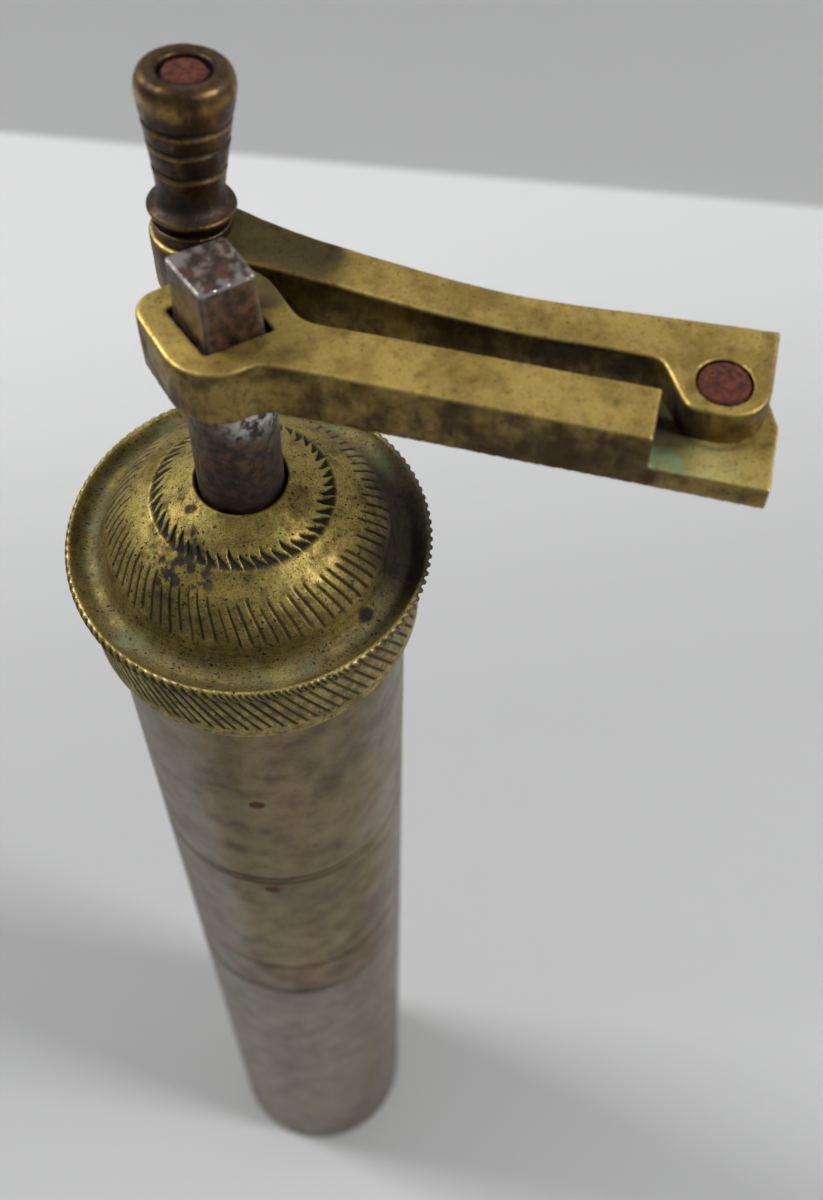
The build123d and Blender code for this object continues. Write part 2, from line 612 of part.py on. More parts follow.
with BuildPart() as knob_pin:
    with BuildSketch(knob_plane(ARM_LOW_Z - ARM_TOP_Z - OVERRUN)):
        Circle(KNOB_PIN_R)
    extrude(amount=ARM_TOP_Z - ARM_LOW_Z + OVERRUN + KNOB_LOW + KNOB_RECESS_LOW + RUN_GAP)
    with BuildSketch(knob_plane(KNOB_LOW + KNOB_RECESS_LOW + RUN_GAP)):
        Circle(PIN_HEAD_R)
    extrude(amount=PIN_HEAD_THICK)
    chamfer(knob_pin.faces().sort_by(Axis.Z)[-1].edges(), EDGE_BREAK)
    split(bisect_by=Plane.XY.offset(ARM_LOW_Z), keep=Keep.TOP)

# ==== Knob: a turned grip with a collar, a ringed barrel and a bulging head =============================
knob_base = knob_plane(KNOB_LOW)
knob_section = Plane(origin=knob_base.origin, x_dir=knob_base.x_dir, z_dir=knob_base.x_dir.cross(KNOB_AXIS))
with BuildPart() as knob:
    with BuildSketch(knob_section):
        with BuildLine():
            Line((KNOB_PIN_R + RUN_GAP, 0), (KNOB_FOOT_R, 0))
            Line((KNOB_FOOT_R, 0), KNOB_COLLAR_LOW)
            ThreePointArc(KNOB_COLLAR_LOW, KNOB_COLLAR, KNOB_COLLAR_TOP)
            Line(KNOB_COLLAR_TOP, KNOB_NECK)
            Spline(KNOB_NECK, *KNOB_BARREL, KNOB_HEAD, tangents=[(0, 1), (0, 1)])
            TangentArc(KNOB_HEAD, KNOB_CREST, tangent=(0, 1))
            Polyline(
                KNOB_CREST,
                KNOB_RECESS,
                (KNOB_RECESS[0], KNOB_RECESS_LOW),
                (KNOB_PIN_R + RUN_GAP, KNOB_RECESS_LOW),
                (KNOB_PIN_R + RUN_GAP, 0),
            )
        make_face()
        for ring_high, barrel_r in KNOB_RINGS:
            with Locations((barrel_r, ring_high)):
                Circle(KNOB_RING_DEEP, mode=Mode.SUBTRACT)
    revolve(axis=Axis(knob_base.origin, KNOB_AXIS))

# ==== Write one STEP file for each piece ================================================================
pieces = {
    "receiver_tube": receiver_tube,
    "receiver_base": receiver_base,
    "hopper_tube": hopper_tube,
    "spigot_sleeve": spigot_sleeve,
    "upper_bridge": upper_bridge,
    "upper_bridge_rivets": upper_bridge_rivets,
    "burr_ring": burr_ring,
    "burr_ring_pins": burr_ring_pins,
    "lower_bridge": lower_bridge,
    "lower_bridge_rivets": lower_bridge_rivets,
    "lid_skirt": lid_skirt,
    "lid_dome": lid_dome,
    "spindle": spindle,
    "burr_cone": burr_cone,
    "cone_pin": cone_pin,
    "thrust_ball": thrust_ball,
    "adjusting_screw": adjusting_screw,
    "crank_inner_arm": crank_inner_arm,
    "hinge_rivet": hinge_rivet,
    "crank_outer_arm": crank_outer_arm,
    "knob_washer": knob_washer,
    "knob_pin": knob_pin,
    "knob": knob,
}
for piece_name, piece in pieces.items():
    piece.part.label = piece_name
    export_step(piece.part, f"parts/{piece_name}.step")
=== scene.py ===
import json
import math

import bpy
import numpy as np
from mathutils import Matrix, Vector


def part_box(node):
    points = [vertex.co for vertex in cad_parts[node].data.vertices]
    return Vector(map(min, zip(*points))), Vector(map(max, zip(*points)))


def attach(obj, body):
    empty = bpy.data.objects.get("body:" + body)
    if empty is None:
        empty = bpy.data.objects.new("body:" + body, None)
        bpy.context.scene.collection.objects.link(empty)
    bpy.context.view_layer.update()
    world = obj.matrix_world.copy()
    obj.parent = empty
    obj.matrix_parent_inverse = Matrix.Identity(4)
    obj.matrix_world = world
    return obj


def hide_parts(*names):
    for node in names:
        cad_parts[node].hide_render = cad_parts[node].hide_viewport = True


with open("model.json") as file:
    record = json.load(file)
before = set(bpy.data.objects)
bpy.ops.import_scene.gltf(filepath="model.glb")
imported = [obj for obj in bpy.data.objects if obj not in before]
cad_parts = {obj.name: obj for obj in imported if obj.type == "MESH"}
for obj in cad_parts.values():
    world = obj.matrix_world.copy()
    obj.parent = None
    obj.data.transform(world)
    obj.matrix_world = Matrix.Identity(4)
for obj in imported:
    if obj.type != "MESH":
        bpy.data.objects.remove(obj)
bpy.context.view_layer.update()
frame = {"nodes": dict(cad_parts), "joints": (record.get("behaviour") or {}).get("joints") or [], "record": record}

# The looks of an antique cylindrical coffee mill. Lengths are metres, in the mill's own frame: Z is its
# axis, and the base stands at z = 0. MM turns millimetres into metres.
MM = 0.001


# ==== Places taken from the frame ====
def node_radius(node):
    """Outside radius of a turned piece that stands on the mill's axis."""
    low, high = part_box(node)
    return (high.x - low.x) / 2


def node_heights(node):
    """The lowest and the highest point of a node."""
    low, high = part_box(node)
    return low.z, high.z


def joint(name):
    """A hinge's place in the frame, and the direction of its axis."""
    found = next(j for j in frame["joints"] if j["name"] == name)
    return Vector(found["pos_m"]), Vector(found["axis"]).normalized()


TUBE_R = node_radius("hopper_tube")
TUBE_BORE_R = node_radius("receiver_base")
BASE_Z, SEAM_Z = node_heights("receiver_tube")
HOPPER_TOP_Z = node_heights("hopper_tube")[1]
SKIRT_R = node_radius("lid_skirt")
SKIRT_LOW_Z, SKIRT_TOP_Z = node_heights("lid_skirt")
LIP_R = node_radius("lid_dome")
DOME_TOP_Z = node_heights("lid_dome")[1]
SPINDLE_R = node_radius("spindle")
SPINDLE_LOW_Z, SPINDLE_TOP_Z = node_heights("spindle")
ARM_LOW_Z, ARM_TOP_Z = node_heights("crank_inner_arm")
PIVOT = joint("crank_fold")[0]
PIVOT_IN_CRANK = (61.0 * MM, 5.0 * MM)      # along and across the inner arm
CRANK_TURN = math.atan2(PIVOT.y, PIVOT.x) - math.atan2(PIVOT_IN_CRANK[1], PIVOT_IN_CRANK[0])
knob_point, KNOB_AXIS = joint("knob_spin")
KNOB_FOOT = knob_point - KNOB_AXIS * ((knob_point.z - ARM_TOP_Z) / KNOB_AXIS.z)


# ==== Random fields and small mathematics ====
SEED_SHIFT = 19.19        # cells between the fields of two neighbouring seeds
CELL_PRIMES = np.array([73856093, 19349663, 83492791])
HASH_FACTOR = 1274126177
HASH_TOP = 0xFFFF
LAYERS_REACH = 1.75       # how far three layers of noise reach, against one


def noise(points, size, seed):
    """A smooth field in -1..1 at each point, with lumps about `size` metres across."""
    place = np.asarray(points, float) / size + seed * SEED_SHIFT
    cell = np.floor(place).astype(np.int64)
    part = place - cell
    part = part * part * (3 - 2 * part)
    total = np.zeros(len(place))
    for corner in range(8):
        step = np.array([corner & 1, (corner >> 1) & 1, (corner >> 2) & 1])
        key = (cell + step) @ CELL_PRIMES
        key = (key ^ (key >> 13)) * HASH_FACTOR
        key = (key ^ (key >> 16)) & HASH_TOP
        weight = np.prod(np.where(step == 1, part, 1 - part), axis=1)
        total += weight * (2 * key / HASH_TOP - 1)
    return total


def layered_noise(points, size, seed, layers=3):
    """Noise with finer and fainter layers on top."""
    total = np.zeros(len(points))
    for layer in range(layers):
        total += noise(points, size / 2 ** layer, seed + layer) * 0.5 ** layer
    return total / LAYERS_REACH


def ramp(value, low, high):
    """0 below low, 1 above high, smooth between. It falls instead when high is below low."""
    share = np.clip((value - low) / (high - low), 0, 1)
    return share * share * (3 - 2 * share)


def bump_at(value, centre, half_width):
    """1 at the centre, falling to 0 at half_width on both sides."""
    return ramp(np.abs(value - centre), half_width, 0)


def blotch(points, centre, radius, seed, lumps=0.7, ragged=0.45, rim=(1.05, 0.75)):
    """1 inside a stain with a ragged edge, 0 outside."""
    away = np.linalg.norm(points - np.array(centre) * MM, axis=1) / (radius * MM)
    return ramp(away + ragged * layered_noise(points, lumps * radius * MM, seed), *rim)


def soft_blotch(points, centre, radius, seed):
    """A stain that fades out evenly from its middle."""
    return blotch(points, centre, radius, seed, lumps=0.6, ragged=0.35, rim=(1.1, 0.25))


def polar(radius, degrees, height):
    """A place in millimetres from a radius, a direction and a height."""
    return (radius * math.cos(math.radians(degrees)), radius * math.sin(math.radians(degrees)), height)


def smooth_line(points, step):
    """Points `step` apart along a Catmull-Rom curve through the given points."""
    points = np.asarray(points, float)
    padded = np.vstack([2 * points[0] - points[1], points, 2 * points[-1] - points[-2]])
    dense = []
    for before, start, end, after in zip(padded, padded[1:], padded[2:], padded[3:]):
        for t in np.linspace(0, 1, 40, endpoint=False):
            dense.append(0.5 * (2 * start + (end - before) * t
                                + (2 * before - 5 * start + 4 * end - after) * t ** 2
                                + (3 * start - before - 3 * end + after) * t ** 3))
    return even_line(np.array(dense + [points[-1]]), step)


def in_mm(*points):
    """Lengths, or points of an outline, given in millimetres, as an array in metres."""
    return np.array(points, float) * MM


def even_line(points, step):
    """Points about `step` apart along a chain of straight lines."""
    points = np.asarray(points, float)
    run = np.concatenate([[0], np.cumsum(np.linalg.norm(np.diff(points, axis=0), axis=1))])
    count = max(2, int(round(run[-1] / step)) + 1)
    places = np.linspace(0, run[-1], count)
    return np.column_stack([np.interp(places, run, points[:, k]) for k in range(2)])


def joined(*lines):
    """One chain from several that start where the last one ended."""
    return np.vstack([lines[0]] + [line[1:] for line in lines[1:]])


# ==== Meshes ====
def new_piece(name, vertices, faces, masks):
    """A smooth mesh object from arrays, its faces turned outwards. Each mask is one number a vertex."""
    mesh = bpy.data.meshes.new(name)
    mesh.from_pydata(vertices.tolist(), [], faces)
    mesh.update()
    mesh.calc_loop_triangles()
    corners = np.empty(len(mesh.loop_triangles) * 3, np.int32)
    mesh.loop_triangles.foreach_get("vertices", corners)
    triangle = vertices[corners.reshape(-1, 3)]
    if np.einsum("ij,ij->i", triangle[:, 0], np.cross(triangle[:, 1], triangle[:, 2])).sum() < 0:
        mesh.flip_normals()
    add_masks(mesh, masks)
    mesh.shade_smooth()
    piece = bpy.data.objects.new(name, mesh)
    bpy.context.scene.collection.objects.link(piece)
    return piece


def add_masks(mesh, masks):
    """Keeps each mask as an attribute that the materials read."""
    for mask_name, values in masks.items():
        layer = mesh.attributes.new(mask_name, "FLOAT", "POINT")
        layer.data.foreach_set("value", np.asarray(values, np.float32))


def turned_points(radius, height, angle):
    """Points from their radius, height and angle about Z."""
    return np.column_stack([radius * np.cos(angle), radius * np.sin(angle), height])


def row_outward(profile, closed):
    """Which way is out of the metal at each row of a profile."""
    ahead = np.roll(profile, -1, axis=0)
    behind = np.roll(profile, 1, axis=0)
    if not closed:
        ahead[-1], behind[0] = profile[-1], profile[0]
    along = ahead - behind
    along /= np.maximum(np.linalg.norm(along, axis=1), 1e-12)[:, None]
    return np.column_stack([-along[:, 1], along[:, 0]])


def grid_faces(rows, columns, closed):
    """The four-cornered faces between the rows, which meet round the axis and, if closed, end to end."""
    row = np.arange(rows if closed else rows - 1)[:, None]
    column = np.arange(columns)[None, :]
    beside = (column + 1) % columns
    below = (row + 1) % rows
    return np.stack([row * columns + column, row * columns + beside,
                     below * columns + beside, below * columns + column], axis=-1).reshape(-1, 4).tolist()


def lathe(name, profile, columns, relief=None, twist=None, shape=None, closed=True, place=None):
    """Turns a chain of (radius, height) about an axis, which is the mill's own unless `place` moves it.

    The chain runs with the metal on its right. relief(radius, height, angle) gives how far each point
    sinks, and its masks; twist(radius, height) turns a row, so that slanted cuts follow the grid;
    shape(radius, height, angle) gives new radii for what isn't round. A chain that isn't closed starts and
    ends on the axis.
    """
    profile = np.asarray(profile, float)
    if not closed:
        profile = profile[1:-1]
    elif np.allclose(profile[0], profile[-1]):
        profile = profile[:-1]
    rows = len(profile)
    outward = np.repeat(row_outward(profile, closed), columns, axis=0)
    radius, height = np.repeat(profile, columns, axis=0).T
    turn = np.tile(np.arange(columns) * 2 * math.pi / columns, rows)
    if twist is not None:
        turn = turn + twist(radius, height)
    if shape is not None:
        radius = shape(radius, height, turn)
    sink, masks = np.zeros(rows * columns), {}
    if relief is not None:
        sink, masks = relief(radius, height, turn)
    vertices = turned_points(radius - sink * outward[:, 0], height - sink * outward[:, 1], turn)
    faces = grid_faces(rows, columns, closed)
    if not closed:
        for first in (0, (rows - 1) * columns):
            ring = np.arange(columns) + first
            pole = len(vertices)
            vertices = np.vstack([vertices, vertices[ring].mean(axis=0)])
            masks = {key: np.append(value, value[ring].mean()) for key, value in masks.items()}
            near, far = ring, np.roll(ring, -1)
            if first == 0:
                near, far = far, near
            faces += np.column_stack([near, far, np.full(columns, pole)]).tolist()
    if place is not None:
        vertices = vertices @ np.array(place.to_3x3()).T + np.array(place.translation)
    return new_piece(name, vertices, faces, masks)


def body_of_node(node):
    """The body that holds a CAD node."""
    bodies = frame["record"]["behaviour"]["bodies"]
    return next(body for body, nodes in bodies.items() if node in nodes)


def slot_of_node(node):
    """The material slot of a CAD node."""
    return next(s["material_slot"] for s in frame["record"]["subparts"] if s["node"] == node)


# ==== Lid ====
DOME_COLUMNS = 720
DOME_LINES = 75           # slanted cuts round the foot of the dome
DOME_LINE_IN_R = 16.6 * MM
DOME_LINE_OUT_R = 20.7 * MM
DOME_LINE_SLANT = 0.125   # radians that a cut leans over its length
WEDGES = 47               # triangular punch marks round the spindle's hole
WEDGE_IN_R = 11.3 * MM
WEDGE_OUT_R = 12.95 * MM
KNURL_TEETH = 110
KNURL_EXTRA = 9           # more notches in the stretch where they stand closer together
KNURL_CLOSE = (math.radians(232), math.radians(274))
KNURL_LEAN = 24.0         # radians a metre of height
WEDGE_DEEP = 0.36 * MM
DOME_LINE_DEEP = 0.20 * MM
RING_DEEP = 0.06 * MM
KNURL_DEEP = 0.55 * MM
FOOT_RINGS_R = in_mm(20.9, 21.35, 21.8, 22.3)     # fine turned lines at the foot of the dome
TOOTH_PROUD = 0.15 * MM   # how far the rope edge swells
CREST_R = 26.4 * MM       # the rounded top of the lid's flange
CREST_Z = 288.6 * MM
LID_SHEET = 1.3           # millimetres
UNDERSIDE_R = in_mm(6.44, 12.6, 18.9, 20.2, 27.0)
UNDERSIDE_Z = in_mm(302.1, 298.7, 292.0, 286.5, 286.5)


def knurl(angle, height):
    """1 in the notches of the rope edge, 0 on the teeth between them."""
    around = (angle + KNURL_LEAN * (height - DOME_TOP_Z)) % (2 * math.pi)
    closer = np.clip((around - KNURL_CLOSE[0]) / (KNURL_CLOSE[1] - KNURL_CLOSE[0]), 0, 1)
    phase = around / (2 * math.pi) * KNURL_TEETH + closer * KNURL_EXTRA
    return ramp(np.cos(2 * math.pi * phase), -0.5, 0.9)


def dome_twist(radius, height):
    """Leans the grid along the slanted cuts. The underside follows, so the mesh stays untwisted there."""
    return DOME_LINE_SLANT * ramp(radius, DOME_LINE_IN_R - 1 * MM, DOME_LINE_OUT_R + 1 * MM)


def hand_cut(count, seed):
    """Four random numbers in 0..1 for each of `count` cuts, so that no two are quite alike."""
    return np.random.default_rng(seed).random((4, count))


def trough_grime(points):
    """Uneven tarnish in the hollow ring."""
    return 0.45 + 0.55 * ramp(layered_noise(points, 4 * MM, 23, 4), -0.4, 0.4)


def lid_stain(points):
    """Soot on the lid's right side, one round blot, and streaks over the left of the engraving."""
    right = 1.1 * soft_blotch(points, polar(24.5, -9, 288), 10.5, 24)
    right = right + 0.9 * soft_blotch(points, polar(23.5, 15, 288.5), 10, 25)
    right = right + 0.7 * soft_blotch(points, polar(23.5, -27, 289), 8, 29)
    blot = blotch(points, polar(22.0, -48, 288.5), 1.6, 26)
    streaks = ramp(layered_noise(points, 1.2 * MM, 27, 4), -0.05, 0.3)
    left = soft_blotch(points, polar(15.5, -132, 297.5), 8.0, 28)
    left = left + 0.8 * soft_blotch(points, polar(9.5, -150, 301), 6.5, 30)
    left = left + 0.5 * soft_blotch(points, polar(15.5, -95, 297.5), 5.0, 36)
    return np.clip(right + blot + 1.1 * streaks * left, 0, 1)


def lid_green(points, trough):
    """Faint blue-green bloom in the hollow ring."""
    return 0.45 * trough * ramp(layered_noise(points, 4 * MM, 19), 0.0, 0.6)


def lid_underside(radius):
    """The height that parts the dome's outside from its inside."""
    return np.interp(radius, UNDERSIDE_R, UNDERSIDE_Z)


def wedge_marks(radius, angle):
    """1 in the triangular marks, which are widest at their outer end."""
    around = (angle - 0.06 * ramp(radius, WEDGE_IN_R, WEDGE_OUT_R)) / (2 * math.pi) * WEDGES
    mark = np.floor(around).astype(int) % WEDGES
    within = around % 1.0
    cut = hand_cut(WEDGES, 11)
    inner_end = WEDGE_IN_R - 0.9 * MM * cut[0][mark] ** 2
    share = (radius - inner_end) / (WEDGE_OUT_R - inner_end)
    width = 0.86 * np.clip(share, 0, 1) ** 0.8 * (0.88 + 0.24 * cut[1][mark])
    wedge = ramp(within, width + 0.05, width - 0.05) * ramp(within, -0.02, 0.06)
    return wedge * ramp(share, 0.0, 0.2) * ramp(radius, WEDGE_OUT_R + 0.12 * MM, WEDGE_OUT_R)


def slanted_cuts(radius, height, angle):
    """1 in the slanted cuts round the foot of the dome."""
    around = (angle - dome_twist(radius, height)) / (2 * math.pi) * DOME_LINES
    mark = np.round(around).astype(int) % DOME_LINES
    cut = hand_cut(DOME_LINES, 12)
    off = np.abs(around - np.round(around) + 0.12 * (cut[0][mark] - 0.5))
    start = DOME_LINE_IN_R + 1.3 * MM * (cut[1][mark] - 0.5)
    stop = DOME_LINE_OUT_R + 0.5 * MM * (cut[2][mark] - 0.5)
    ends = ramp(radius, start, start + 0.7 * MM) * ramp(radius, stop, stop - 0.3 * MM)
    return ramp(off, 0.18, 0.07) * ends * (0.7 + 0.3 * cut[3][mark])


def turned_rings(radius):
    """Fine turned lines at the foot of the dome, and one round the triangular marks."""
    rings = 0.8 * bump_at(radius, WEDGE_OUT_R + 0.12 * MM, 0.14 * MM)
    for ring_r in FOOT_RINGS_R:
        rings += 0.7 * bump_at(radius, ring_r, 0.16 * MM)
    return rings


def dome_relief(radius, height, angle):
    """Engraving, turned lines, knurled edge and dents of the lid, with painted shade under its rope edge."""
    points = turned_points(radius, height, angle)
    above = height > SKIRT_TOP_Z + 0.6 * MM
    top = above & (height > lid_underside(radius))
    wedge = wedge_marks(radius, angle) * top
    line = slanted_cuts(radius, height, angle) * top
    turned = turned_rings(radius) * top
    rim = ramp(radius, LIP_R - 1.0 * MM, LIP_R - 0.35 * MM)
    rim = rim * ramp(height, CREST_Z + 0.35 * MM, CREST_Z - 0.3 * MM)
    notch = knurl(angle, height) * rim
    trough = ramp(radius, 20.8 * MM, 22.8 * MM) * ramp(radius, 26.3 * MM, 25.3 * MM) * top
    dents = 0.05 * MM * layered_noise(points, 7 * MM, 21) + 0.012 * MM * noise(points, 0.9 * MM, 22)
    # Painted shade under the rope edge: its lower side sinks the notches deeper and is darkened at half strength.
    low_side = ramp(radius, LIP_R - 1.0 * MM, LIP_R - 0.5 * MM)
    low_side = low_side * ramp(height, CREST_Z - 0.2 * MM, CREST_Z - 1.1 * MM)
    sink = WEDGE_DEEP * wedge + DOME_LINE_DEEP * line + RING_DEEP * turned + dents * above
    sink = sink + KNURL_DEEP * notch * (0.45 + 0.55 * low_side) - TOOTH_PROUD * rim
    dirt_and_shade = np.clip(wedge + line + 0.6 * turned + notch + 0.5 * low_side, 0, 1)
    wear_and_highlight = bump_at(height, CREST_Z, 0.6 * MM) * bump_at(radius, CREST_R, 0.6 * MM) * (1 - notch)
    wear_and_highlight = wear_and_highlight * (0.25 + 0.75 * ramp(layered_noise(points, 6 * MM, 18), -0.2, 0.4))
    stain_shade_and_reflection = np.clip(lid_stain(points) + 0.9 * wedge + 0.7 * line, 0, 1) * above
    return sink, {"dirt_and_shade": dirt_and_shade, "wear_and_highlight": np.clip(wear_and_highlight, 0, 1), "tarnish": trough * trough_grime(points),
                  "stain_shade_and_reflection": stain_shade_and_reflection, "green": lid_green(points, trough)}


def lid_dome_look():
    """The spun dome with its trough and flange, one closed shell."""
    dome_bore = 20.2 - LID_SHEET
    crown = smooth_line(in_mm((6.72, 303.3), (9.8, 301.4), (12.9, 299.35), (17.2, 296.3), (20.2, 292.3),
                              (21.5, 289.2), (22.4, 287.7), (23.9, 287.0), (25.3, 287.6), (26.25, 288.75)),
                        0.30 * MM)
    lip = smooth_line(in_mm((26.25, 288.75), (26.7, 288.55), (26.9, 287.7), (26.75, 286.75), (26.2, 286.4)),
                      0.22 * MM)
    under = even_line(in_mm((26.2, 286.4), (25.2, 285.5), (dome_bore, 285.5)), 1.0 * MM)
    inside = smooth_line(in_mm((dome_bore, 285.5), (dome_bore - 0.1, 290.4), (12.3, 298.1), (6.44, 301.7)),
                         1.2 * MM)
    hole = smooth_line(in_mm((6.44, 301.7), (6.44, 302.9), (6.72, 303.3)), 0.3 * MM)
    profile = joined(crown, lip, under, inside, hole)
    return lathe("lid_dome_look", profile, DOME_COLUMNS, dome_relief, dome_twist)


BAND_COLUMNS = 900
BAND_LINES = 90
BAND_BORDER_Z = SKIRT_LOW_Z + 2.7 * MM
BAND_SLANT = 0.228        # radians from the top of the band to its border
BAND_LINE_DEEP = 0.24 * MM
FAINT_LINE_DEEP = 0.08 * MM


def band_twist(radius, height):
    """Leans the grid along the hatching."""
    return BAND_SLANT * (SKIRT_TOP_Z - height) / (SKIRT_TOP_Z - BAND_BORDER_Z)


def band_relief(radius, height, angle):
    """Slanted hatching above a plain rounded border, and painted shade under the lid's lip."""
    points = turned_points(radius, height, angle)
    outside = radius > SKIRT_R - 0.9 * MM
    around = (angle - band_twist(radius, height)) / (2 * math.pi) * BAND_LINES
    mark = np.round(around).astype(int) % BAND_LINES
    cut = hand_cut(BAND_LINES, 31)
    off = around - np.round(around) + 0.10 * (cut[0][mark] - 0.5)
    low = BAND_BORDER_Z + 0.9 * MM * (cut[1][mark] - 0.5)
    length = ramp(height, low, low + 0.5 * MM) * ramp(height, SKIRT_TOP_Z, SKIRT_TOP_Z - 0.3 * MM)
    line = ramp(np.abs(off), 0.22, 0.08) * length * (0.7 + 0.3 * cut[2][mark])
    faint = ramp(np.abs(off - 0.45 + 0.2 * cut[3][mark]), 0.12, 0.02) * length * ramp(cut[3][mark], 0.3, 0.6)
    dents = 0.05 * MM * layered_noise(points, 6 * MM, 32)
    sink = (BAND_LINE_DEEP * line + FAINT_LINE_DEEP * faint + dents) * outside
    # Painted shade: the top 4 mm of the band, under the lid's overhanging lip, are darkened.
    under_lip = ramp(height, SKIRT_TOP_Z - 4 * MM, SKIRT_TOP_Z)
    return sink, {"dirt_and_shade": np.clip(line + 0.4 * faint + 0.5 * under_lip, 0, 1) * outside,
                  "stain_shade_and_reflection": 0.9 * line * outside}


def lid_skirt_look():
    """The slip-on band under the lid's flange."""
    inner_r = (TUBE_R + 0.05 * MM) / MM
    low, top, outer = SKIRT_LOW_Z / MM, SKIRT_TOP_Z / MM, SKIRT_R / MM
    outside = even_line(in_mm((outer, top), (outer, low + 0.9)), 0.25 * MM)
    edge = smooth_line(in_mm((outer, low + 0.9), (outer - 0.25, low + 0.25), (outer - 0.9, low)), 0.25 * MM)
    foot = even_line(in_mm((outer - 0.9, low), (inner_r, low)), 0.6 * MM)
    inside = even_line(in_mm((inner_r, low), (inner_r, top)), 2.0 * MM)
    ledge = even_line(in_mm((inner_r, top), (outer, top)), 0.7 * MM)
    profile = joined(outside, edge, foot, inside, ledge)
    return lathe("lid_skirt_look", profile, BAND_COLUMNS, band_relief, band_twist)


# ==== Tubes ====
TUBE_COLUMNS = 400
GROOVES_Z = in_mm(159.2, 207.7, 209.7)
GROOVE_DEEP = 0.28 * MM
GROOVE_HALF = 0.65 * MM
SEAM_ROUND = 0.12 * MM    # edges of the two tubes where they meet
RIM_ROUND = 0.3 * MM
FOOT_ROUND = 0.9 * MM
FACING = -95              # degrees round the axis, the middle of the mill's front


def tube_marks_and_reflection(points, around, height):
    """The scratch high on the left, a painted dark reflection band beside it, and specks."""
    # Painted reflection: a dark vertical band left of the front of the upper tube.
    dark_reflection = bump_at(around, -113, 12) * ramp(height, 200 * MM, 240 * MM)
    scratch = np.abs(around + 169 - (height / MM - 242) * 0.5)
    scratch = ramp(scratch, 1.3, 0.4) * bump_at(height, 242 * MM, 7 * MM)
    spots = ramp(noise(points, 2.6 * MM, 44), 0.78, 0.92) * ramp(noise(points, 30 * MM, 45), -0.2, 0.3)
    return dark_reflection, scratch, spots


def tube_relief(radius, height, angle):
    """Turned lines, shallow dents and stains of long use, specks and warm-toned streaks, with a painted dark
    reflection band, painted shade along the seam and a painted grey sheen to the left and right.
    """
    points = turned_points(radius, height, angle)
    outside = ramp(radius, TUBE_R - 0.9 * MM, TUBE_R - 0.5 * MM)
    groove = sum(bump_at(height, groove_z, GROOVE_HALF) for groove_z in GROOVES_Z)
    dents = 0.05 * MM * layered_noise(points, 26 * MM, 41) + 0.015 * MM * noise(points, 6 * MM, 42)
    sink = (GROOVE_DEEP * groove + dents) * outside
    around = np.degrees(angle) % 360 - 360
    dark_reflection, scratch, spots = tube_marks_and_reflection(points, around, height)
    ragged = 0.5 + 0.5 * layered_noise(points, 12 * MM, 46)
    # Painted shade along the seam where the two tubes meet: a ragged dark band, heavier on the left, with a
    # fainter share darkening the joint itself.
    seam_reach = 1.8 + 1.6 * layered_noise(points, 9 * MM, 43)
    seam = ramp(np.abs(height - SEAM_Z + 0.4 * MM), seam_reach * MM, 0.3 * MM)
    seam_shade = seam * ramp(layered_noise(points, 14 * MM, 47) - 0.012 * (around + 100), -0.1, 0.3)
    # Painted sheen: paler grey on the tube's left and right as seen from the front.
    edge = around + 22 * layered_noise(points, 22 * MM, 48, 4)
    painted_side_sheen = ramp(edge, FACING + 31, FACING + 65) + ramp(edge, FACING - 20, FACING - 39)
    cup = ramp(height, SEAM_Z + 0.5 * MM, SEAM_Z - 2 * MM)
    warm = ramp(height, GROOVES_Z[0] + 0.8 * MM, GROOVES_Z[0] - 1 * MM) * (1 - cup)
    warm = 0.5 * warm * ragged + 0.4 * bump_at(around, -88, 9) * ragged
    warm = warm + 0.5 * cup * bump_at(around, -50, 28)
    return sink, {"dirt_and_shade": np.clip(groove + 0.3 * seam + 0.7 * spots + scratch, 0, 1) * outside,
                  "stain_shade_and_reflection": np.clip(0.55 * dark_reflection * ragged + 0.8 * seam_shade, 0, 1) * outside,
                  "warm": np.clip(warm, 0, 1) * outside,
                  "grey": np.clip(0.75 * cup + painted_side_sheen * (0.5 + ragged), 0, 1)}


def tube_heights(low, top):
    """Heights up a tube, closer together near the turned lines."""
    steps = set(np.round(np.arange(low, top, 1.6 * MM), 7)) | {round(top, 7)}
    for groove_z in GROOVES_Z:
        if low < groove_z < top:
            steps |= set(np.round(groove_z + np.arange(-0.7, 0.71, 0.14) * MM, 7))
    return sorted(steps)


def tube_look(name, low, top, round_low, round_top):
    """One tube: its outside, rims and bore, with its edges broken by the given radii."""
    wall = [(TUBE_R, z) for z in tube_heights(low + round_low, top - round_top)]
    bow = 1 - math.sqrt(0.5)
    foot = [(TUBE_R - round_low, low), (TUBE_R - bow * round_low, low + bow * round_low)]
    head = [(TUBE_R - bow * round_top, top - bow * round_top), (TUBE_R - round_top, top)]
    bore = [(TUBE_BORE_R, z) for z in np.linspace(top, low, 12)]
    return lathe(name, np.array(foot + wall + head + bore)[::-1], TUBE_COLUMNS, tube_relief)


# ==== Spindle ====
SPINDLE_COLUMNS = 256
SQUARE_FOOT = in_mm(6.5, 6.2, 5.6)      # reach of its corners: ahead, behind, and to the sides
SQUARE_TIP = in_mm(5.35, 5.95, 4.95)
CORNER_CUT = 0.96         # share of a corner's reach that's left after wear
JOURNAL_R = 4.0 * MM      # the thin lower end, inside the mill
SHOULDER_Z = in_mm(184, 186.03)         # where the thin end widens to the bar
SHOWN_Z = 296 * MM        # the bar is seen above this height
FINE_Z = 298 * MM         # rows stand closer together above this height


def spindle_twist(radius, height):
    """Puts the grid's columns on the corners of the square."""
    return np.full(len(radius), CRANK_TURN)


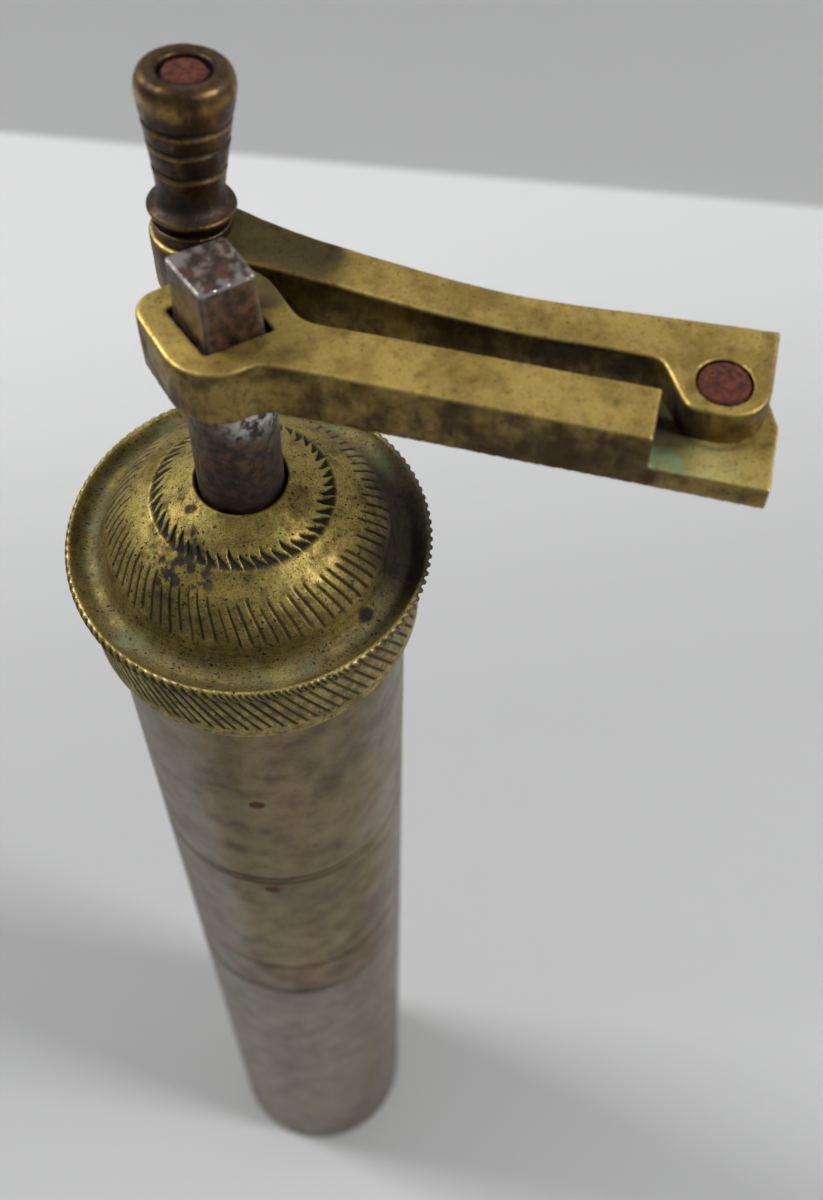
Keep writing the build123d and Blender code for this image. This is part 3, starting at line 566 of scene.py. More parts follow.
def square_shape(radius, height, angle):
    """Turns the round bar above the crank's shoulder into a tapering, hand-filed square."""
    share = np.clip((height - ARM_LOW_Z) / (SPINDLE_TOP_Z - ARM_LOW_Z), 0, 1)
    ahead, behind, beside = (foot + (tip - foot) * share for foot, tip in zip(SQUARE_FOOT, SQUARE_TIP))
    along, across = np.cos(angle - CRANK_TURN), np.sin(angle - CRANK_TURN)
    reach = np.where(along > 0, ahead, behind)
    flat = 1 / (np.abs(along) / reach + np.abs(across) / beside)
    flat = np.minimum(flat, CORNER_CUT * np.where(np.abs(along) > np.abs(across), reach, beside))
    return np.where(height > ARM_LOW_Z + 0.01 * MM, radius / SPINDLE_R * flat, radius)


def spindle_relief(radius, height, angle):
    """Rust scale and pits, steel worn bright on the square's edges, and painted shade low on the round bar."""
    points = turned_points(radius, height, angle)
    shown = height > SHOWN_Z
    square = height > ARM_LOW_Z + 0.01 * MM
    top = height > SPINDLE_TOP_Z - 0.02 * MM
    scale = ramp(layered_noise(points * [1, 1, 0.6], 1.5 * MM, 51), 0.0, 0.5)
    pits = ramp(noise(points, 0.6 * MM, 52), 0.3, 0.8)
    spots = ramp(layered_noise(points, 0.8 * MM, 54, 4) + 0.5 - 0.13 * radius / MM, -0.35, 0.3) * top
    dents = 0.03 * MM * layered_noise(points, 4 * MM, 53)
    sink = (0.05 * MM * scale + 0.06 * MM * pits + dents) * shown
    sink = sink * np.where(top, 0.4, 1.0) + 0.05 * MM * spots
    turn = (angle - CRANK_TURN) % (math.pi / 2)
    corner = ramp(np.minimum(turn, math.pi / 2 - turn), 0.16, 0.03) * square * ~top
    rim = ramp(height, SPINDLE_TOP_Z - 0.6 * MM, SPINDLE_TOP_Z - 0.1 * MM) * ~top
    bare = ramp(layered_noise(points * [1, 1, 0.6], 0.8 * MM, 56, 4), -0.2, 0.1)
    bare = bare * soft_blotch(points, (5.2, -3.4, 323.5), 9.0, 55)
    wear_and_highlight = np.clip(0.12 * corner * (1 - scale) + rim + top * (0.38 - 0.38 * spots) + bare * ~square, 0, 1)
    # Painted shade: the round bar darkens below 316 mm, down towards the lid's hole.
    painted_shade_low = ramp(height, 316 * MM, 303 * MM)
    return sink, {"dirt_and_shade": np.clip(0.5 * scale + 0.5 * pits + painted_shade_low + 0.6 * spots, 0, 1), "wear_and_highlight": wear_and_highlight}


def spindle_look():
    """Round bar, shoulder and square end in one closed mesh."""
    r, thin, low, top = SPINDLE_R, JOURNAL_R, SPINDLE_LOW_Z, SPINDLE_TOP_Z
    chain = [(0, low), (thin * 0.5, low), (thin, low), (thin, SHOULDER_Z[0]), (r, SHOULDER_Z[1])]
    chain += [(r, z) for z in np.arange(190 * MM, FINE_Z, 6 * MM)]
    chain += [(r, z) for z in np.arange(FINE_Z, ARM_LOW_Z, 0.25 * MM)] + [(r, ARM_LOW_Z)]
    chain += [(r, z) for z in np.arange(ARM_LOW_Z + 0.02 * MM, top - 0.25 * MM, 0.25 * MM)]
    edge = [(r, top - 0.22 * MM), (r * 0.985, top - 0.07 * MM), (r * 0.955, top)]
    chain += edge + [(r * share, top) for share in np.linspace(0.92, 0.04, 24)] + [(0, top)]
    return lathe("spindle_look", np.array(chain)[::-1], SPINDLE_COLUMNS, spindle_relief, spindle_twist,
                 shape=square_shape, closed=False)


# ==== Crank, rivets and pins: aged skins over the exact pieces ====
SOFTEN_PASSES = 2         # round the voxels' steps away
BEND_PASSES = 2           # even out how sharply the skin turns
LAP_Z = 330.1 * MM        # the level where the two arms lie on each other


def even_skin(node, voxel):
    """A new object with even faces over a CAD node."""
    skin = bpy.data.objects.new(node + "_look", frame["nodes"][node].data.copy())
    bpy.context.scene.collection.objects.link(skin)
    remesh = skin.modifiers.new("skin", "REMESH")
    remesh.mode = "VOXEL"
    remesh.voxel_size = voxel
    smooth = skin.modifiers.new("soften", "SMOOTH")
    smooth.iterations = SOFTEN_PASSES
    evaluated = skin.evaluated_get(bpy.context.evaluated_depsgraph_get())
    mesh = bpy.data.meshes.new_from_object(evaluated)
    skin.modifiers.clear()
    skin.data = mesh
    mesh.materials.clear()
    return skin


def mesh_bend(mesh, points, normals, voxel):
    """How sharply the skin turns at each vertex: above 0 on outward edges, below 0 in corners."""
    edges = np.empty(len(mesh.edges) * 2, np.int32)
    mesh.edges.foreach_get("vertices", edges)
    edges = edges.reshape(-1, 2)
    shares = np.bincount(edges.ravel(), minlength=len(points))[:, None]

    def around(values):
        total = np.zeros_like(values)
        np.add.at(total, edges[:, 0], values[edges[:, 1]])
        np.add.at(total, edges[:, 1], values[edges[:, 0]])
        return total / shares

    bend = np.einsum("ij,ij->i", points - around(points), normals)[:, None] / voxel
    for _ in range(BEND_PASSES):
        bend = 0.5 * bend + 0.5 * around(bend)
    return bend[:, 0]


def aged_skin(node, voxel, age):
    """An even skin over a CAD node, worn by age(points, normals, bend), which gives its sink and masks."""
    skin = even_skin(node, voxel)
    mesh = skin.data
    points, normals = np.empty((2, len(mesh.vertices) * 3))
    mesh.vertices.foreach_get("co", points)
    mesh.vertex_normals.foreach_get("vector", normals)
    points, normals = points.reshape(-1, 3), normals.reshape(-1, 3)
    sink, masks = age(points, normals, mesh_bend(mesh, points, normals, voxel))
    mesh.vertices.foreach_set("co", (points - normals * sink[:, None]).ravel())
    mesh.update()
    add_masks(mesh, masks)
    mesh.shade_smooth()
    return skin


def in_crank(points):
    """Places along the inner arm, across it, and up."""
    along = points[:, 0] * math.cos(CRANK_TURN) + points[:, 1] * math.sin(CRANK_TURN)
    across = points[:, 1] * math.cos(CRANK_TURN) - points[:, 0] * math.sin(CRANK_TURN)
    return np.column_stack([along, across, points[:, 2]])


def arm_age(points, normals, bend):
    """Hammer and file marks, worn edges, pits, tarnish, rust and green bloom, and painted shade in the lap's
    corner.
    """
    place = in_crank(points)
    along, across, height = place.T
    up = normals[:, 2]
    top = ramp(np.abs(up), 0.5, 0.85) * (up > 0)
    wave = 0.09 * MM * layered_noise(points, 7 * MM, 61) + 0.03 * MM * noise(points, 2.2 * MM, 62)
    pits = ramp(noise(points, 0.8 * MM, 63), 0.45, 0.9)
    edge = ramp(bend, 0.03, 0.12)
    corner = ramp(-bend, 0.01, 0.08)
    nicks = ramp(layered_noise(points, 1.6 * MM, 64), 0.1, 0.6) * edge
    sink = wave + 0.05 * MM * pits + 0.10 * MM * nicks
    side = 1 - ramp(np.abs(up), 0.25, 0.7)
    worn = edge * (0.25 + 0.75 * ramp(layered_noise(points, 4 * MM, 65), -0.3, 0.3)) * (up > 0.05)
    from_pivot = np.hypot(along - PIVOT_IN_CRANK[0], across - PIVOT_IN_CRANK[1])
    worn = worn * ramp(from_pivot, 6.2 * MM, 7.2 * MM)
    on_plate = top * ((height < LAP_Z + 0.4 * MM) & (along > 52.5 * MM))
    red = bump_at(from_pivot, 5.9 * MM, 0.6 * MM) * on_plate * ramp(across, 3 * MM, -1 * MM)
    return sink, {"dirt_and_shade": np.clip(corner + 0.5 * pits * (1 - edge), 0, 1), "wear_and_highlight": worn, "side": side,
                  # Tarnish by the knob, and painted shade in the lap's corner.
                  "stain_shade_and_reflection": np.clip(knob_tarnish(place) * top + lap_shadow(place), 0, 1),
                  "warm": red, "green": lap_verdigris(points, place) * on_plate}


def knob_tarnish(place):
    """Dark grey tarnish by the knob."""
    return 0.85 * ramp(soft_blotch(place * [1, 1, 0], (1.5, 12.5, 0), 12.5, 66), 0.1, 0.5)


def lap_shadow(place):
    """Painted shade in the corner between the inner arm's shoulder and the outer arm's end."""
    painted_shade = soft_blotch(place, (54.8, 1.5, LAP_Z / MM + 1.5), 6.5, 69)
    return 0.9 * painted_shade * (place[:, 2] < ARM_TOP_Z - 0.7 * MM)


def lap_verdigris(points, place):
    """Pale green bloom in the corner of the lap joint."""
    low = LAP_Z / MM
    bloom = blotch(place, (54.3, -5.4, low), 3.9, 67) * ramp(noise(points, 1.2 * MM, 60), -0.9, -0.1)
    return np.clip(bloom + 0.45 * soft_blotch(place, (58, -4.0, low), 11.0, 68), 0, 1)


def rust_age(amount):
    """Rough scale on iron, `amount` metres deep."""
    def age(points, normals, bend):
        scale = layered_noise(points, 1.1 * MM, 71)
        pits = ramp(noise(points, 0.5 * MM, 72), 0.2, 0.8)
        return amount * (scale + pits), {"dirt_and_shade": pits, "wear_and_highlight": ramp(bend, 0.02, 0.12) * 0.4}
    return age


def pin_end_age(points, normals, bend):
    """Dark filed ends of cross pins, a little proud of the tube."""
    brown = np.ones(len(points))
    return -0.07 * MM + 0.05 * MM * noise(points, 0.6 * MM, 74), {"dirt_and_shade": 1.2 * brown, "wear_and_highlight": 0.3 * brown}


def small_brass_age(points, normals, bend):
    """Light dents on a small brass piece."""
    return 0.03 * MM * layered_noise(points, 1.5 * MM, 73), {"wear_and_highlight": 0.25 * ramp(bend, 0.04, 0.14)}


# ==== Knob ====
KNOB_COLUMNS = 220
UP = Vector((0, 0, 1))
KNOB_LEAN = UP.rotation_difference(KNOB_AXIS).to_matrix().to_4x4()
KNOB_PLACE = Matrix.Translation(KNOB_FOOT) @ KNOB_LEAN
KNOB_RINGS_Z = in_mm(9.25, 12.95, 15.85)          # above the arm


def knob_relief(radius, height, angle):
    """Turned rings with a raised lip under each, small dents, and bright bands that are partly painted highlights.
    """
    points = turned_points(radius, height, angle)
    outside = radius > 4.0 * MM
    groove, lip = np.zeros(len(radius)), np.zeros(len(radius))
    for ring_z in KNOB_RINGS_Z:
        groove += bump_at(height, ring_z + 0.25 * MM, 0.55 * MM)
        lip += bump_at(height, ring_z - 0.3 * MM, 0.28 * MM)
    dents = 0.05 * MM * layered_noise(points, 3 * MM, 81) + 0.02 * MM * noise(points, 0.8 * MM, 82)
    sink = (0.34 * MM * groove - 0.06 * MM * lip + dents) * outside
    # Bright bands round the crown, on each lip and on the collar's edge: partly rubbed bright by use, partly
    # painted highlights.
    crown = bump_at(height, 19.7 * MM, 2.2 * MM) + 0.4 * bump_at(height, 21.6 * MM, 0.7 * MM)
    collar = bump_at(height, 3.2 * MM, 0.45 * MM) * ramp(radius, 5.3 * MM, 5.6 * MM)
    wear_and_highlight = 0.9 * crown * ramp(layered_noise(points, 4.0 * MM, 83), -0.35, 0.35)
    wear_and_highlight = wear_and_highlight + (0.7 * lip + 0.35 * collar) * ramp(noise(points, 4 * MM, 84), -0.5, 0.4)
    neck = bump_at(height, 5.2 * MM, 2.6 * MM)
    return sink, {"dirt_and_shade": np.clip(groove + 0.75 * neck, 0, 1) * outside,
                  "wear_and_highlight": np.clip(wear_and_highlight, 0, 1) * outside}


def knob_look():
    """The turned grip on its leaning axis."""
    bore, recess_r, recess_z = 1.75, 3.38, 20.35
    outside = smooth_line(in_mm((4.25, 22.05), (5.1, 21.95), (5.8, 21.2), (6.1, 19.7), (5.95, 18.1),
                                (5.5, 15.5), (5.17, 12.95), (4.75, 9.85), (4.45, 7.2), (4.25, 5.3)),
                          0.16 * MM)
    collar = smooth_line(in_mm((4.25, 5.3), (4.33, 4.7), (4.65, 4.15), (5.2, 3.7), (5.58, 3.45), (5.7, 3.15),
                               (5.5, 2.8), (5.1, 2.5)), 0.14 * MM)
    foot = even_line(in_mm((5.1, 2.5), (4.7, 1.36), (bore, 1.36), (bore, recess_z), (recess_r, recess_z)),
                     0.8 * MM)
    recess = even_line(in_mm((recess_r, recess_z), (recess_r, 21.6)), 0.3 * MM)
    rim = smooth_line(in_mm((recess_r, 21.6), (3.6, 21.85), (4.25, 22.05)), 0.16 * MM)
    profile = joined(outside, collar, foot, recess, rim)
    return lathe("knob_look", profile, KNOB_COLUMNS, knob_relief, place=KNOB_PLACE)


# ==== Materials ====
def tone(red, green, blue):
    """A colour from display values in 0..255, as the linear colour that a material wants."""
    def linear(value):
        value = value / 255
        return value / 12.92 if value <= 0.04045 else ((value + 0.055) / 1.055) ** 2.4
    return (linear(red), linear(green), linear(blue), 1.0)


MIX_FIRST, MIX_SECOND, MIX_RESULT = 6, 7, 2        # the Mix node's sockets for colours


class Recipe:
    """A material being put together from nodes."""

    def __init__(self, name):
        self.material = bpy.data.materials.new(name)
        self.material.use_nodes = True
        self.tree = self.material.node_tree
        self.tree.nodes.clear()
        self.place = self.node("ShaderNodeTexCoord").outputs["Object"]

    def node(self, kind, **settings):
        made = self.tree.nodes.new(kind)
        for key, value in settings.items():
            setattr(made, key, value)
        return made

    def feed(self, socket, value):
        if isinstance(value, bpy.types.NodeSocket):
            self.tree.links.new(value, socket)
        else:
            socket.default_value = value

    def noise(self, size, detail=3.0, stretch=(1, 1, 1), seed=0.0, rough=0.55, turn=0.0):
        """A field around 0.5, with lumps about `size` metres across; turn is about Z."""
        turned = self.node("ShaderNodeMapping")
        self.feed(turned.inputs["Vector"], self.place)
        turned.inputs["Rotation"].default_value = (0, 0, turn)
        scaled = self.node("ShaderNodeMapping")
        self.feed(scaled.inputs["Vector"], turned.outputs["Vector"])
        scaled.inputs["Scale"].default_value = stretch
        scaled.inputs["Location"].default_value = (seed * size, 0, 0)
        made = self.node("ShaderNodeTexNoise")
        self.feed(made.inputs["Vector"], scaled.outputs["Vector"])
        made.inputs["Scale"].default_value = 1 / size
        made.inputs["Detail"].default_value = detail
        made.inputs["Roughness"].default_value = rough
        return made.outputs["Fac"]

    def ramp(self, value, low, high, to_low=0.0, to_high=1.0):
        made = self.node("ShaderNodeMapRange", interpolation_type="SMOOTHSTEP")
        self.feed(made.inputs["Value"], value)
        for key, number in zip(("From Min", "From Max", "To Min", "To Max"), (low, high, to_low, to_high)):
            made.inputs[key].default_value = number
        return made.outputs["Result"]

    def math(self, operation, first, second=0.0):
        made = self.node("ShaderNodeMath", operation=operation)
        self.feed(made.inputs[0], first)
        self.feed(made.inputs[1], second)
        return made.outputs["Value"]

    def times(self, first, second):
        return self.math("MULTIPLY", first, second)

    def mask(self, name):
        return self.node("ShaderNodeAttribute", attribute_name=name).outputs["Fac"]

    def mix(self, share, first, second):
        made = self.node("ShaderNodeMix", data_type="RGBA")
        self.feed(made.inputs["Factor"], share)
        self.feed(made.inputs[MIX_FIRST], first)
        self.feed(made.inputs[MIX_SECOND], second)
        return made.outputs[MIX_RESULT]

    def bump(self, height, strength, distance, below=None):
        made = self.node("ShaderNodeBump")
        made.inputs["Strength"].default_value = strength
        made.inputs["Distance"].default_value = distance
        self.feed(made.inputs["Height"], height)
        if below is not None:
            self.feed(made.inputs["Normal"], below)
        return made.outputs["Normal"]

    def surface(self, colour, metallic, roughness, normal=None):
        shader = self.node("ShaderNodeBsdfPrincipled")
        self.feed(shader.inputs["Base Color"], colour)
        self.feed(shader.inputs["Metallic"], metallic)
        self.feed(shader.inputs["Roughness"], roughness)
        if normal is not None:
            self.feed(shader.inputs["Normal"], normal)
        output = self.node("ShaderNodeOutputMaterial")
        self.feed(output.inputs["Surface"], shader.outputs["BSDF"])
        return self.material

    def one_sided(self):
        """Lets a camera behind the surface look through it."""
        output = self.tree.get_output_node("ALL")
        mix = self.node("ShaderNodeMixShader")
        self.feed(mix.inputs[0], self.node("ShaderNodeNewGeometry").outputs["Backfacing"])
        self.feed(mix.inputs[1], output.inputs["Surface"].links[0].from_socket)
        self.feed(mix.inputs[2], self.node("ShaderNodeBsdfTransparent").outputs["BSDF"])
        self.feed(output.inputs["Surface"], mix.outputs["Shader"])
        return self.material


VERDIGRIS = tone(132, 160, 120)
# Soot, and also the colour of painted shade and of a painted dark reflection.
SOOT_SHADE_AND_REFLECTION = tone(20, 16, 12)
TARNISH = tone(122, 112, 84)
# Greyer brass of the lower tube, and also a painted sheen on the tubes' left and right.
COOL_GREY = tone(142, 138, 129)
RUSTY = tone(124, 84, 56)


def aged_metal(name, bare, dull, grime_and_shade, edge, patch, roughness, pitting=1.0, scratch=(1, 1, 0.15),
               scratch_turn=0.0, mottling=0.45, dents=0.35):
    """Old metal: bright and dull patches, dark pits, grimy cuts and bare metal on worn edges; its masks also paint
    shade, a dark reflection, a sheen and highlights.
    """
    recipe = Recipe(name)
    patches = recipe.noise(patch, 4.0, seed=1)
    mottle = recipe.noise(patch * 0.22, 4.0, seed=2, rough=0.65)
    pits = recipe.noise(0.5 * MM, 2.0, seed=3)
    scratches = recipe.noise(1.2 * MM, 3.0, scratch, seed=4, rough=0.7, turn=scratch_turn)
    colour = recipe.mix(recipe.ramp(recipe.math("ADD", recipe.times(patches, 0.6),
                                                recipe.times(mottle, 0.4)), 0.40, 0.60), bare, dull)
    colour = recipe.mix(recipe.ramp(mottle, 0.52, 0.78, 0, mottling), colour, grime_and_shade)
    colour = recipe.mix(recipe.ramp(scratches, 0.55, 0.75, 0, 0.25), colour, edge)
    streaks = recipe.noise(patch * 0.2, 4.0, (1, 1, 0.45), seed=7, rough=0.65)
    streaks = recipe.math("ADD", recipe.times(streaks, 0.45), recipe.times(patches, 0.55))
    side = recipe.times(recipe.mask("side"), recipe.ramp(streaks, 0.40, 0.60, 0.52, 0.97))
    colour = recipe.mix(side, colour, grime_and_shade)
    colour = recipe.mix(recipe.times(recipe.mask("warm"), 0.75), colour, RUSTY)
    dirt_and_shade = recipe.times(recipe.mask("dirt_and_shade"), recipe.ramp(mottle, 0.2, 0.6, 1.0, 0.85))
    wear_and_highlight = recipe.times(recipe.mask("wear_and_highlight"), recipe.ramp(pits, 0.30, 0.65, 1.0, 0.5))
    # Grimy cuts and corners, and painted shade under the lid's lip and rope edge and along the tubes' seam.
    colour = recipe.mix(dirt_and_shade, colour, grime_and_shade)
    # Bare metal on worn edges, and painted highlights on the knob.
    colour = recipe.mix(wear_and_highlight, colour, edge)
    tarnish = recipe.times(recipe.mask("tarnish"), recipe.ramp(mottle, 0.35, 0.65, 1.0, 0.6))
    colour = recipe.mix(tarnish, colour, TARNISH)
    # Greyer lower tube, and a painted sheen on the tubes' left and right as seen from the front.
    colour = recipe.mix(recipe.times(recipe.mask("grey"), 0.6), colour, COOL_GREY)
    colour = recipe.mix(recipe.ramp(pits, 0.60, 0.72, 0, 0.75 * pitting), colour, grime_and_shade)
    grain = recipe.noise(0.22 * MM, 2.0, seed=8)
    colour = recipe.mix(recipe.ramp(grain, 0.46, 0.70, 0, 0.32 * pitting), colour, grime_and_shade)
    green = recipe.mask("green")
    colour = recipe.mix(recipe.times(green, recipe.ramp(mottle, 0.35, 0.6, 1.0, 0.5)), colour, VERDIGRIS)
    # Real stains and tarnish, with painted shade in the crank's lap and along the tubes' seam, and a painted dark
    # reflection on the upper tube.
    stain_shade_and_reflection = recipe.mask("stain_shade_and_reflection")
    colour = recipe.mix(recipe.times(stain_shade_and_reflection, recipe.ramp(mottle, 0.3, 0.6, 1.0, 0.88)), colour, SOOT_SHADE_AND_REFLECTION)
    covered = recipe.math("MAXIMUM", recipe.math("MAXIMUM", dirt_and_shade, green), recipe.times(stain_shade_and_reflection, 0.7))
    rough = recipe.ramp(mottle, 0.3, 0.7, roughness, roughness + 0.16)
    rough = recipe.math("ADD", rough, recipe.times(covered, 0.3))
    rough = recipe.math("ADD", rough, recipe.times(tarnish, 0.28))
    rough = recipe.math("SUBTRACT", rough, recipe.times(wear_and_highlight, 0.12))
    metal = recipe.ramp(covered, 0.0, 1.0, 0.85, 0.25)
    normal = recipe.bump(pits, 0.35 * pitting, 0.03 * MM)
    normal = recipe.bump(scratches, 0.25, 0.02 * MM, normal)
    normal = recipe.bump(mottle, dents, 0.12 * MM, normal)
    return recipe.surface(colour, metal, rough, normal)


def rusted_iron(name, rust, dark, steel, patch, roughness):
    """Iron under rough rust, with a little steel showing where it's worn."""
    recipe = Recipe(name)
    patches = recipe.noise(patch, 5.0, seed=5, rough=0.6)
    grain = recipe.noise(0.35 * MM, 3.0, seed=6)
    colour = recipe.mix(recipe.ramp(patches, 0.38, 0.62), dark, rust)
    colour = recipe.mix(recipe.ramp(grain, 0.5, 0.75, 0, 0.5), colour, dark)
    dirt_and_shade = recipe.mask("dirt_and_shade")
    wear_and_highlight = recipe.mask("wear_and_highlight")
    # This darkening also brings the painted shade low on the spindle.
    colour = recipe.mix(recipe.times(dirt_and_shade, 0.6), colour, dark)
    colour = recipe.mix(wear_and_highlight, colour, steel)
    rough = recipe.math("SUBTRACT", roughness, recipe.times(wear_and_highlight, 0.4))
    metal = recipe.ramp(wear_and_highlight, 0.0, 1.0, 0.25, 0.9)
    normal = recipe.bump(grain, 0.5, 0.05 * MM)
    normal = recipe.bump(patches, 0.4, 0.15 * MM, normal)
    return recipe.surface(colour, metal, rough, normal)


SLOT_LOOKS = {
    "lid_brass": aged_metal(
        "lid_brass_look", bare=tone(170, 151, 83), dull=tone(124, 108, 56), grime_and_shade=tone(36, 28, 15),
        edge=tone(222, 204, 134), patch=8 * MM, roughness=0.46, pitting=1.8),
    "tube_brass": aged_metal(
        "tube_brass_look", bare=tone(128, 109, 68), dull=tone(101, 87, 61), grime_and_shade=tone(46, 36, 22),
        edge=tone(138, 124, 98), patch=26 * MM, roughness=0.38, pitting=0.6, mottling=0.36, dents=0.1),
    "arm_brass": aged_metal(
        "arm_brass_look", bare=tone(204, 176, 98), dull=tone(156, 132, 70), grime_and_shade=tone(64, 46, 20),
        edge=tone(220, 198, 124), patch=12 * MM, roughness=0.42, scratch=(0.1, 1, 1), scratch_turn=-0.6,
        mottling=0.4),
    "knob_brass": aged_metal(
        "knob_brass_look", bare=tone(84, 64, 44), dull=tone(56, 42, 30), grime_and_shade=tone(18, 13, 9),
        edge=tone(196, 160, 92), patch=5 * MM, roughness=0.36, pitting=0.6),
    "inside_brass": aged_metal(
        "inside_brass_look", bare=tone(170, 150, 100), dull=tone(140, 120, 80), grime_and_shade=tone(70, 56, 36),
        edge=tone(200, 180, 120), patch=12 * MM, roughness=0.4),
    "rusted_iron": rusted_iron(
        "rust_look", rust=tone(108, 52, 36), dark=tone(56, 28, 20), steel=tone(120, 74, 58),
        patch=0.7 * MM, roughness=0.9),
    "spindle_steel": rusted_iron(
        "spindle_steel_look", rust=tone(98, 70, 50), dark=tone(46, 32, 26), steel=tone(190, 186, 182),
        patch=1.6 * MM, roughness=0.5),
    "burr_iron": rusted_iron(
        "burr_iron_look", rust=tone(70, 62, 56), dark=tone(44, 42, 40), steel=tone(150, 148, 146),
        patch=4 * MM, roughness=0.55),
}


# ==== Putting the pieces in their places ====
looks = {
    "lid_dome": lid_dome_look(),
    "lid_skirt": lid_skirt_look(),
    "hopper_tube": tube_look("hopper_tube_look", SEAM_Z, HOPPER_TOP_Z, SEAM_ROUND, RIM_ROUND),
    "receiver_tube": tube_look("receiver_tube_look", BASE_Z, SEAM_Z, FOOT_ROUND, SEAM_ROUND),
    "spindle": spindle_look(),
    "crank_inner_arm": aged_skin("crank_inner_arm", 0.26 * MM, arm_age),
    "crank_outer_arm": aged_skin("crank_outer_arm", 0.26 * MM, arm_age),
    "hinge_rivet": aged_skin("hinge_rivet", 0.16 * MM, rust_age(0.07 * MM)),
    "knob_pin": aged_skin("knob_pin", 0.16 * MM, rust_age(0.07 * MM)),
    "knob_washer": aged_skin("knob_washer", 0.16 * MM, small_brass_age),
    "upper_bridge_rivets": aged_skin("upper_bridge_rivets", 0.2 * MM, pin_end_age),
    "burr_ring_pins": aged_skin("burr_ring_pins", 0.2 * MM, pin_end_age),
    "knob": knob_look(),
}
for node, piece in looks.items():
    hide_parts(node)
    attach(piece, body_of_node(node))
    piece.data.materials.append(SLOT_LOOKS[slot_of_node(node)])
for node, exact in frame["nodes"].items():
    if node not in looks:
        exact.data.materials.clear()
        exact.data.materials.append(SLOT_LOOKS[slot_of_node(node)])


# ==== Floor, backdrop, light, camera ====
def plain(name, greys, roughness, one_sided=False):
    """A quiet studio surface with a trace of grain, and a grey for its front, its middle and its back, so that
    uneven greys paint its light.
    """
    recipe = Recipe(name)
    front, middle, back = (tone(grey, grey, grey) for grey in greys)
    split = recipe.node("ShaderNodeSeparateXYZ")
    recipe.feed(split.inputs["Vector"], recipe.place)
    colour = recipe.mix(recipe.ramp(split.outputs["Y"], -0.06, 0.01), front, middle)
    colour = recipe.mix(recipe.ramp(split.outputs["Y"], 0.10, 0.36), colour, back)
    tint = recipe.mix(recipe.noise(60 * MM, 2.0), colour, (0.5, 0.5, 0.5, 1))
    recipe.surface(recipe.mix(0.04, colour, tint), 0.0, roughness)
    return recipe.one_sided() if one_sided else recipe.material


def stage_sheet(name, corners, material):
    """A flat four-cornered piece of the studio."""
    sheet = bpy.data.objects.new(name, bpy.data.meshes.new(name))
    sheet.data.from_pydata([tuple(corner) for corner in corners], [], [(0, 1, 2, 3)])
    sheet.data.materials.append(material)
    bpy.context.scene.collection.objects.link(sheet)


FLOOR_HALF = 3
WALL_MIDDLE = Vector((-0.082, 0.425, 0.0))
WALL_ALONG = Vector((0.334, -0.098, 0.0)).normalized()
WALL_HALF = 2.0
WALL_HIGH = 0.9
# Painted light: the floor is paler at the back and the front than in the middle. The backdrop is even.
FLOOR_LOOK = plain("floor_look", (203, 189, 224), 0.8)
WALL_LOOK = plain("backdrop_look", (210, 210, 210), 0.9, one_sided=True)
wall_start = WALL_MIDDLE - WALL_ALONG * WALL_HALF
wall_end = WALL_MIDDLE + WALL_ALONG * WALL_HALF
square = [(-1, -1), (1, -1), (1, 1), (-1, 1)]
stage_sheet("floor", [(x * FLOOR_HALF, y * FLOOR_HALF, 0) for x, y in square], FLOOR_LOOK)
rise = UP * WALL_HIGH
stage_sheet("backdrop", [wall_start, wall_end, wall_end + rise, wall_start + rise], WALL_LOOK)

LIGHT_AIM = Vector((0, 0, 0.15))


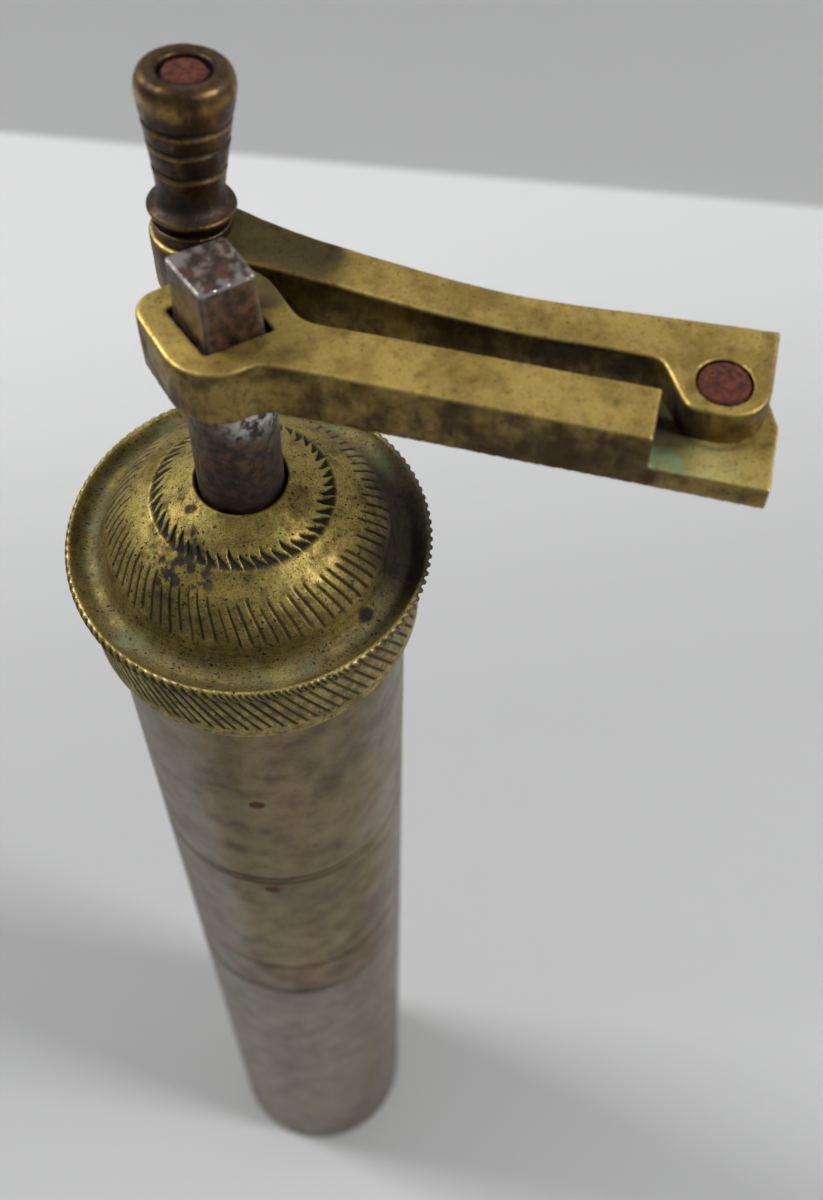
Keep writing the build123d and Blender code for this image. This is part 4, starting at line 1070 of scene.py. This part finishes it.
def soft_light(name, azimuth, elevation, distance, size, power):
    """A square soft light that faces the mill."""
    lamp = bpy.data.lights.new(name, "AREA")
    lamp.size, lamp.energy = size, power
    holder = bpy.data.objects.new(name, lamp)
    turn, rise = math.radians(azimuth), math.radians(elevation)
    away = Vector((math.cos(turn) * math.cos(rise), math.sin(turn) * math.cos(rise), math.sin(rise)))
    holder.location = LIGHT_AIM + away * distance
    holder.rotation_euler = away.to_track_quat("Z", "Y").to_euler()
    bpy.context.scene.collection.objects.link(holder)


soft_light("key", azimuth=-25, elevation=42, distance=1.3, size=0.26, power=9.4)
soft_light("back_light", azimuth=152, elevation=50, distance=1.3, size=0.30, power=9.6)

SKY_TONE = (0.95, 0.97, 1.0, 1.0)
SKY_STRENGTH = 0.20
world = bpy.data.worlds.new("studio")
bpy.context.scene.world = world
world.use_nodes = True
sky = world.node_tree.nodes["Background"]
sky.inputs["Color"].default_value = SKY_TONE
sky.inputs["Strength"].default_value = SKY_STRENGTH

CAMERA_AT = Vector((0, -0.1289, 0.4786))
CAMERA_YAW, CAMERA_PITCH, CAMERA_ROLL = (math.radians(angle) for angle in (10.77, 58.60, 1.29))
LENS = 46.54              # millimetres, as is SENSOR
SENSOR = 36
FOCUS_AT = (0, 0, 0.30)
F_STOP = 19
forward = Vector((math.sin(CAMERA_YAW) * math.cos(CAMERA_PITCH),
                  math.cos(CAMERA_YAW) * math.cos(CAMERA_PITCH),
                  -math.sin(CAMERA_PITCH)))
level = Vector((math.cos(CAMERA_YAW), -math.sin(CAMERA_YAW), 0))
upright = level.cross(forward)
right = level * math.cos(CAMERA_ROLL) + upright * math.sin(CAMERA_ROLL)
up = upright * math.cos(CAMERA_ROLL) - level * math.sin(CAMERA_ROLL)
camera = bpy.data.objects.new("camera", bpy.data.cameras.new("camera"))
camera.matrix_world = Matrix.Translation(CAMERA_AT) @ Matrix((right, up, -forward)).transposed().to_4x4()
camera.data.lens = LENS
camera.data.sensor_width = SENSOR
camera.data.clip_start = 0.01
camera.data.dof.use_dof = True
focus = bpy.data.objects.new("focus", None)
focus.location = FOCUS_AT
bpy.context.scene.collection.objects.link(focus)
camera.data.dof.focus_object = focus
camera.data.dof.aperture_fstop = F_STOP
bpy.context.scene.collection.objects.link(camera)
bpy.context.scene.camera = camera
bpy.context.scene.view_settings.view_transform = "Standard"
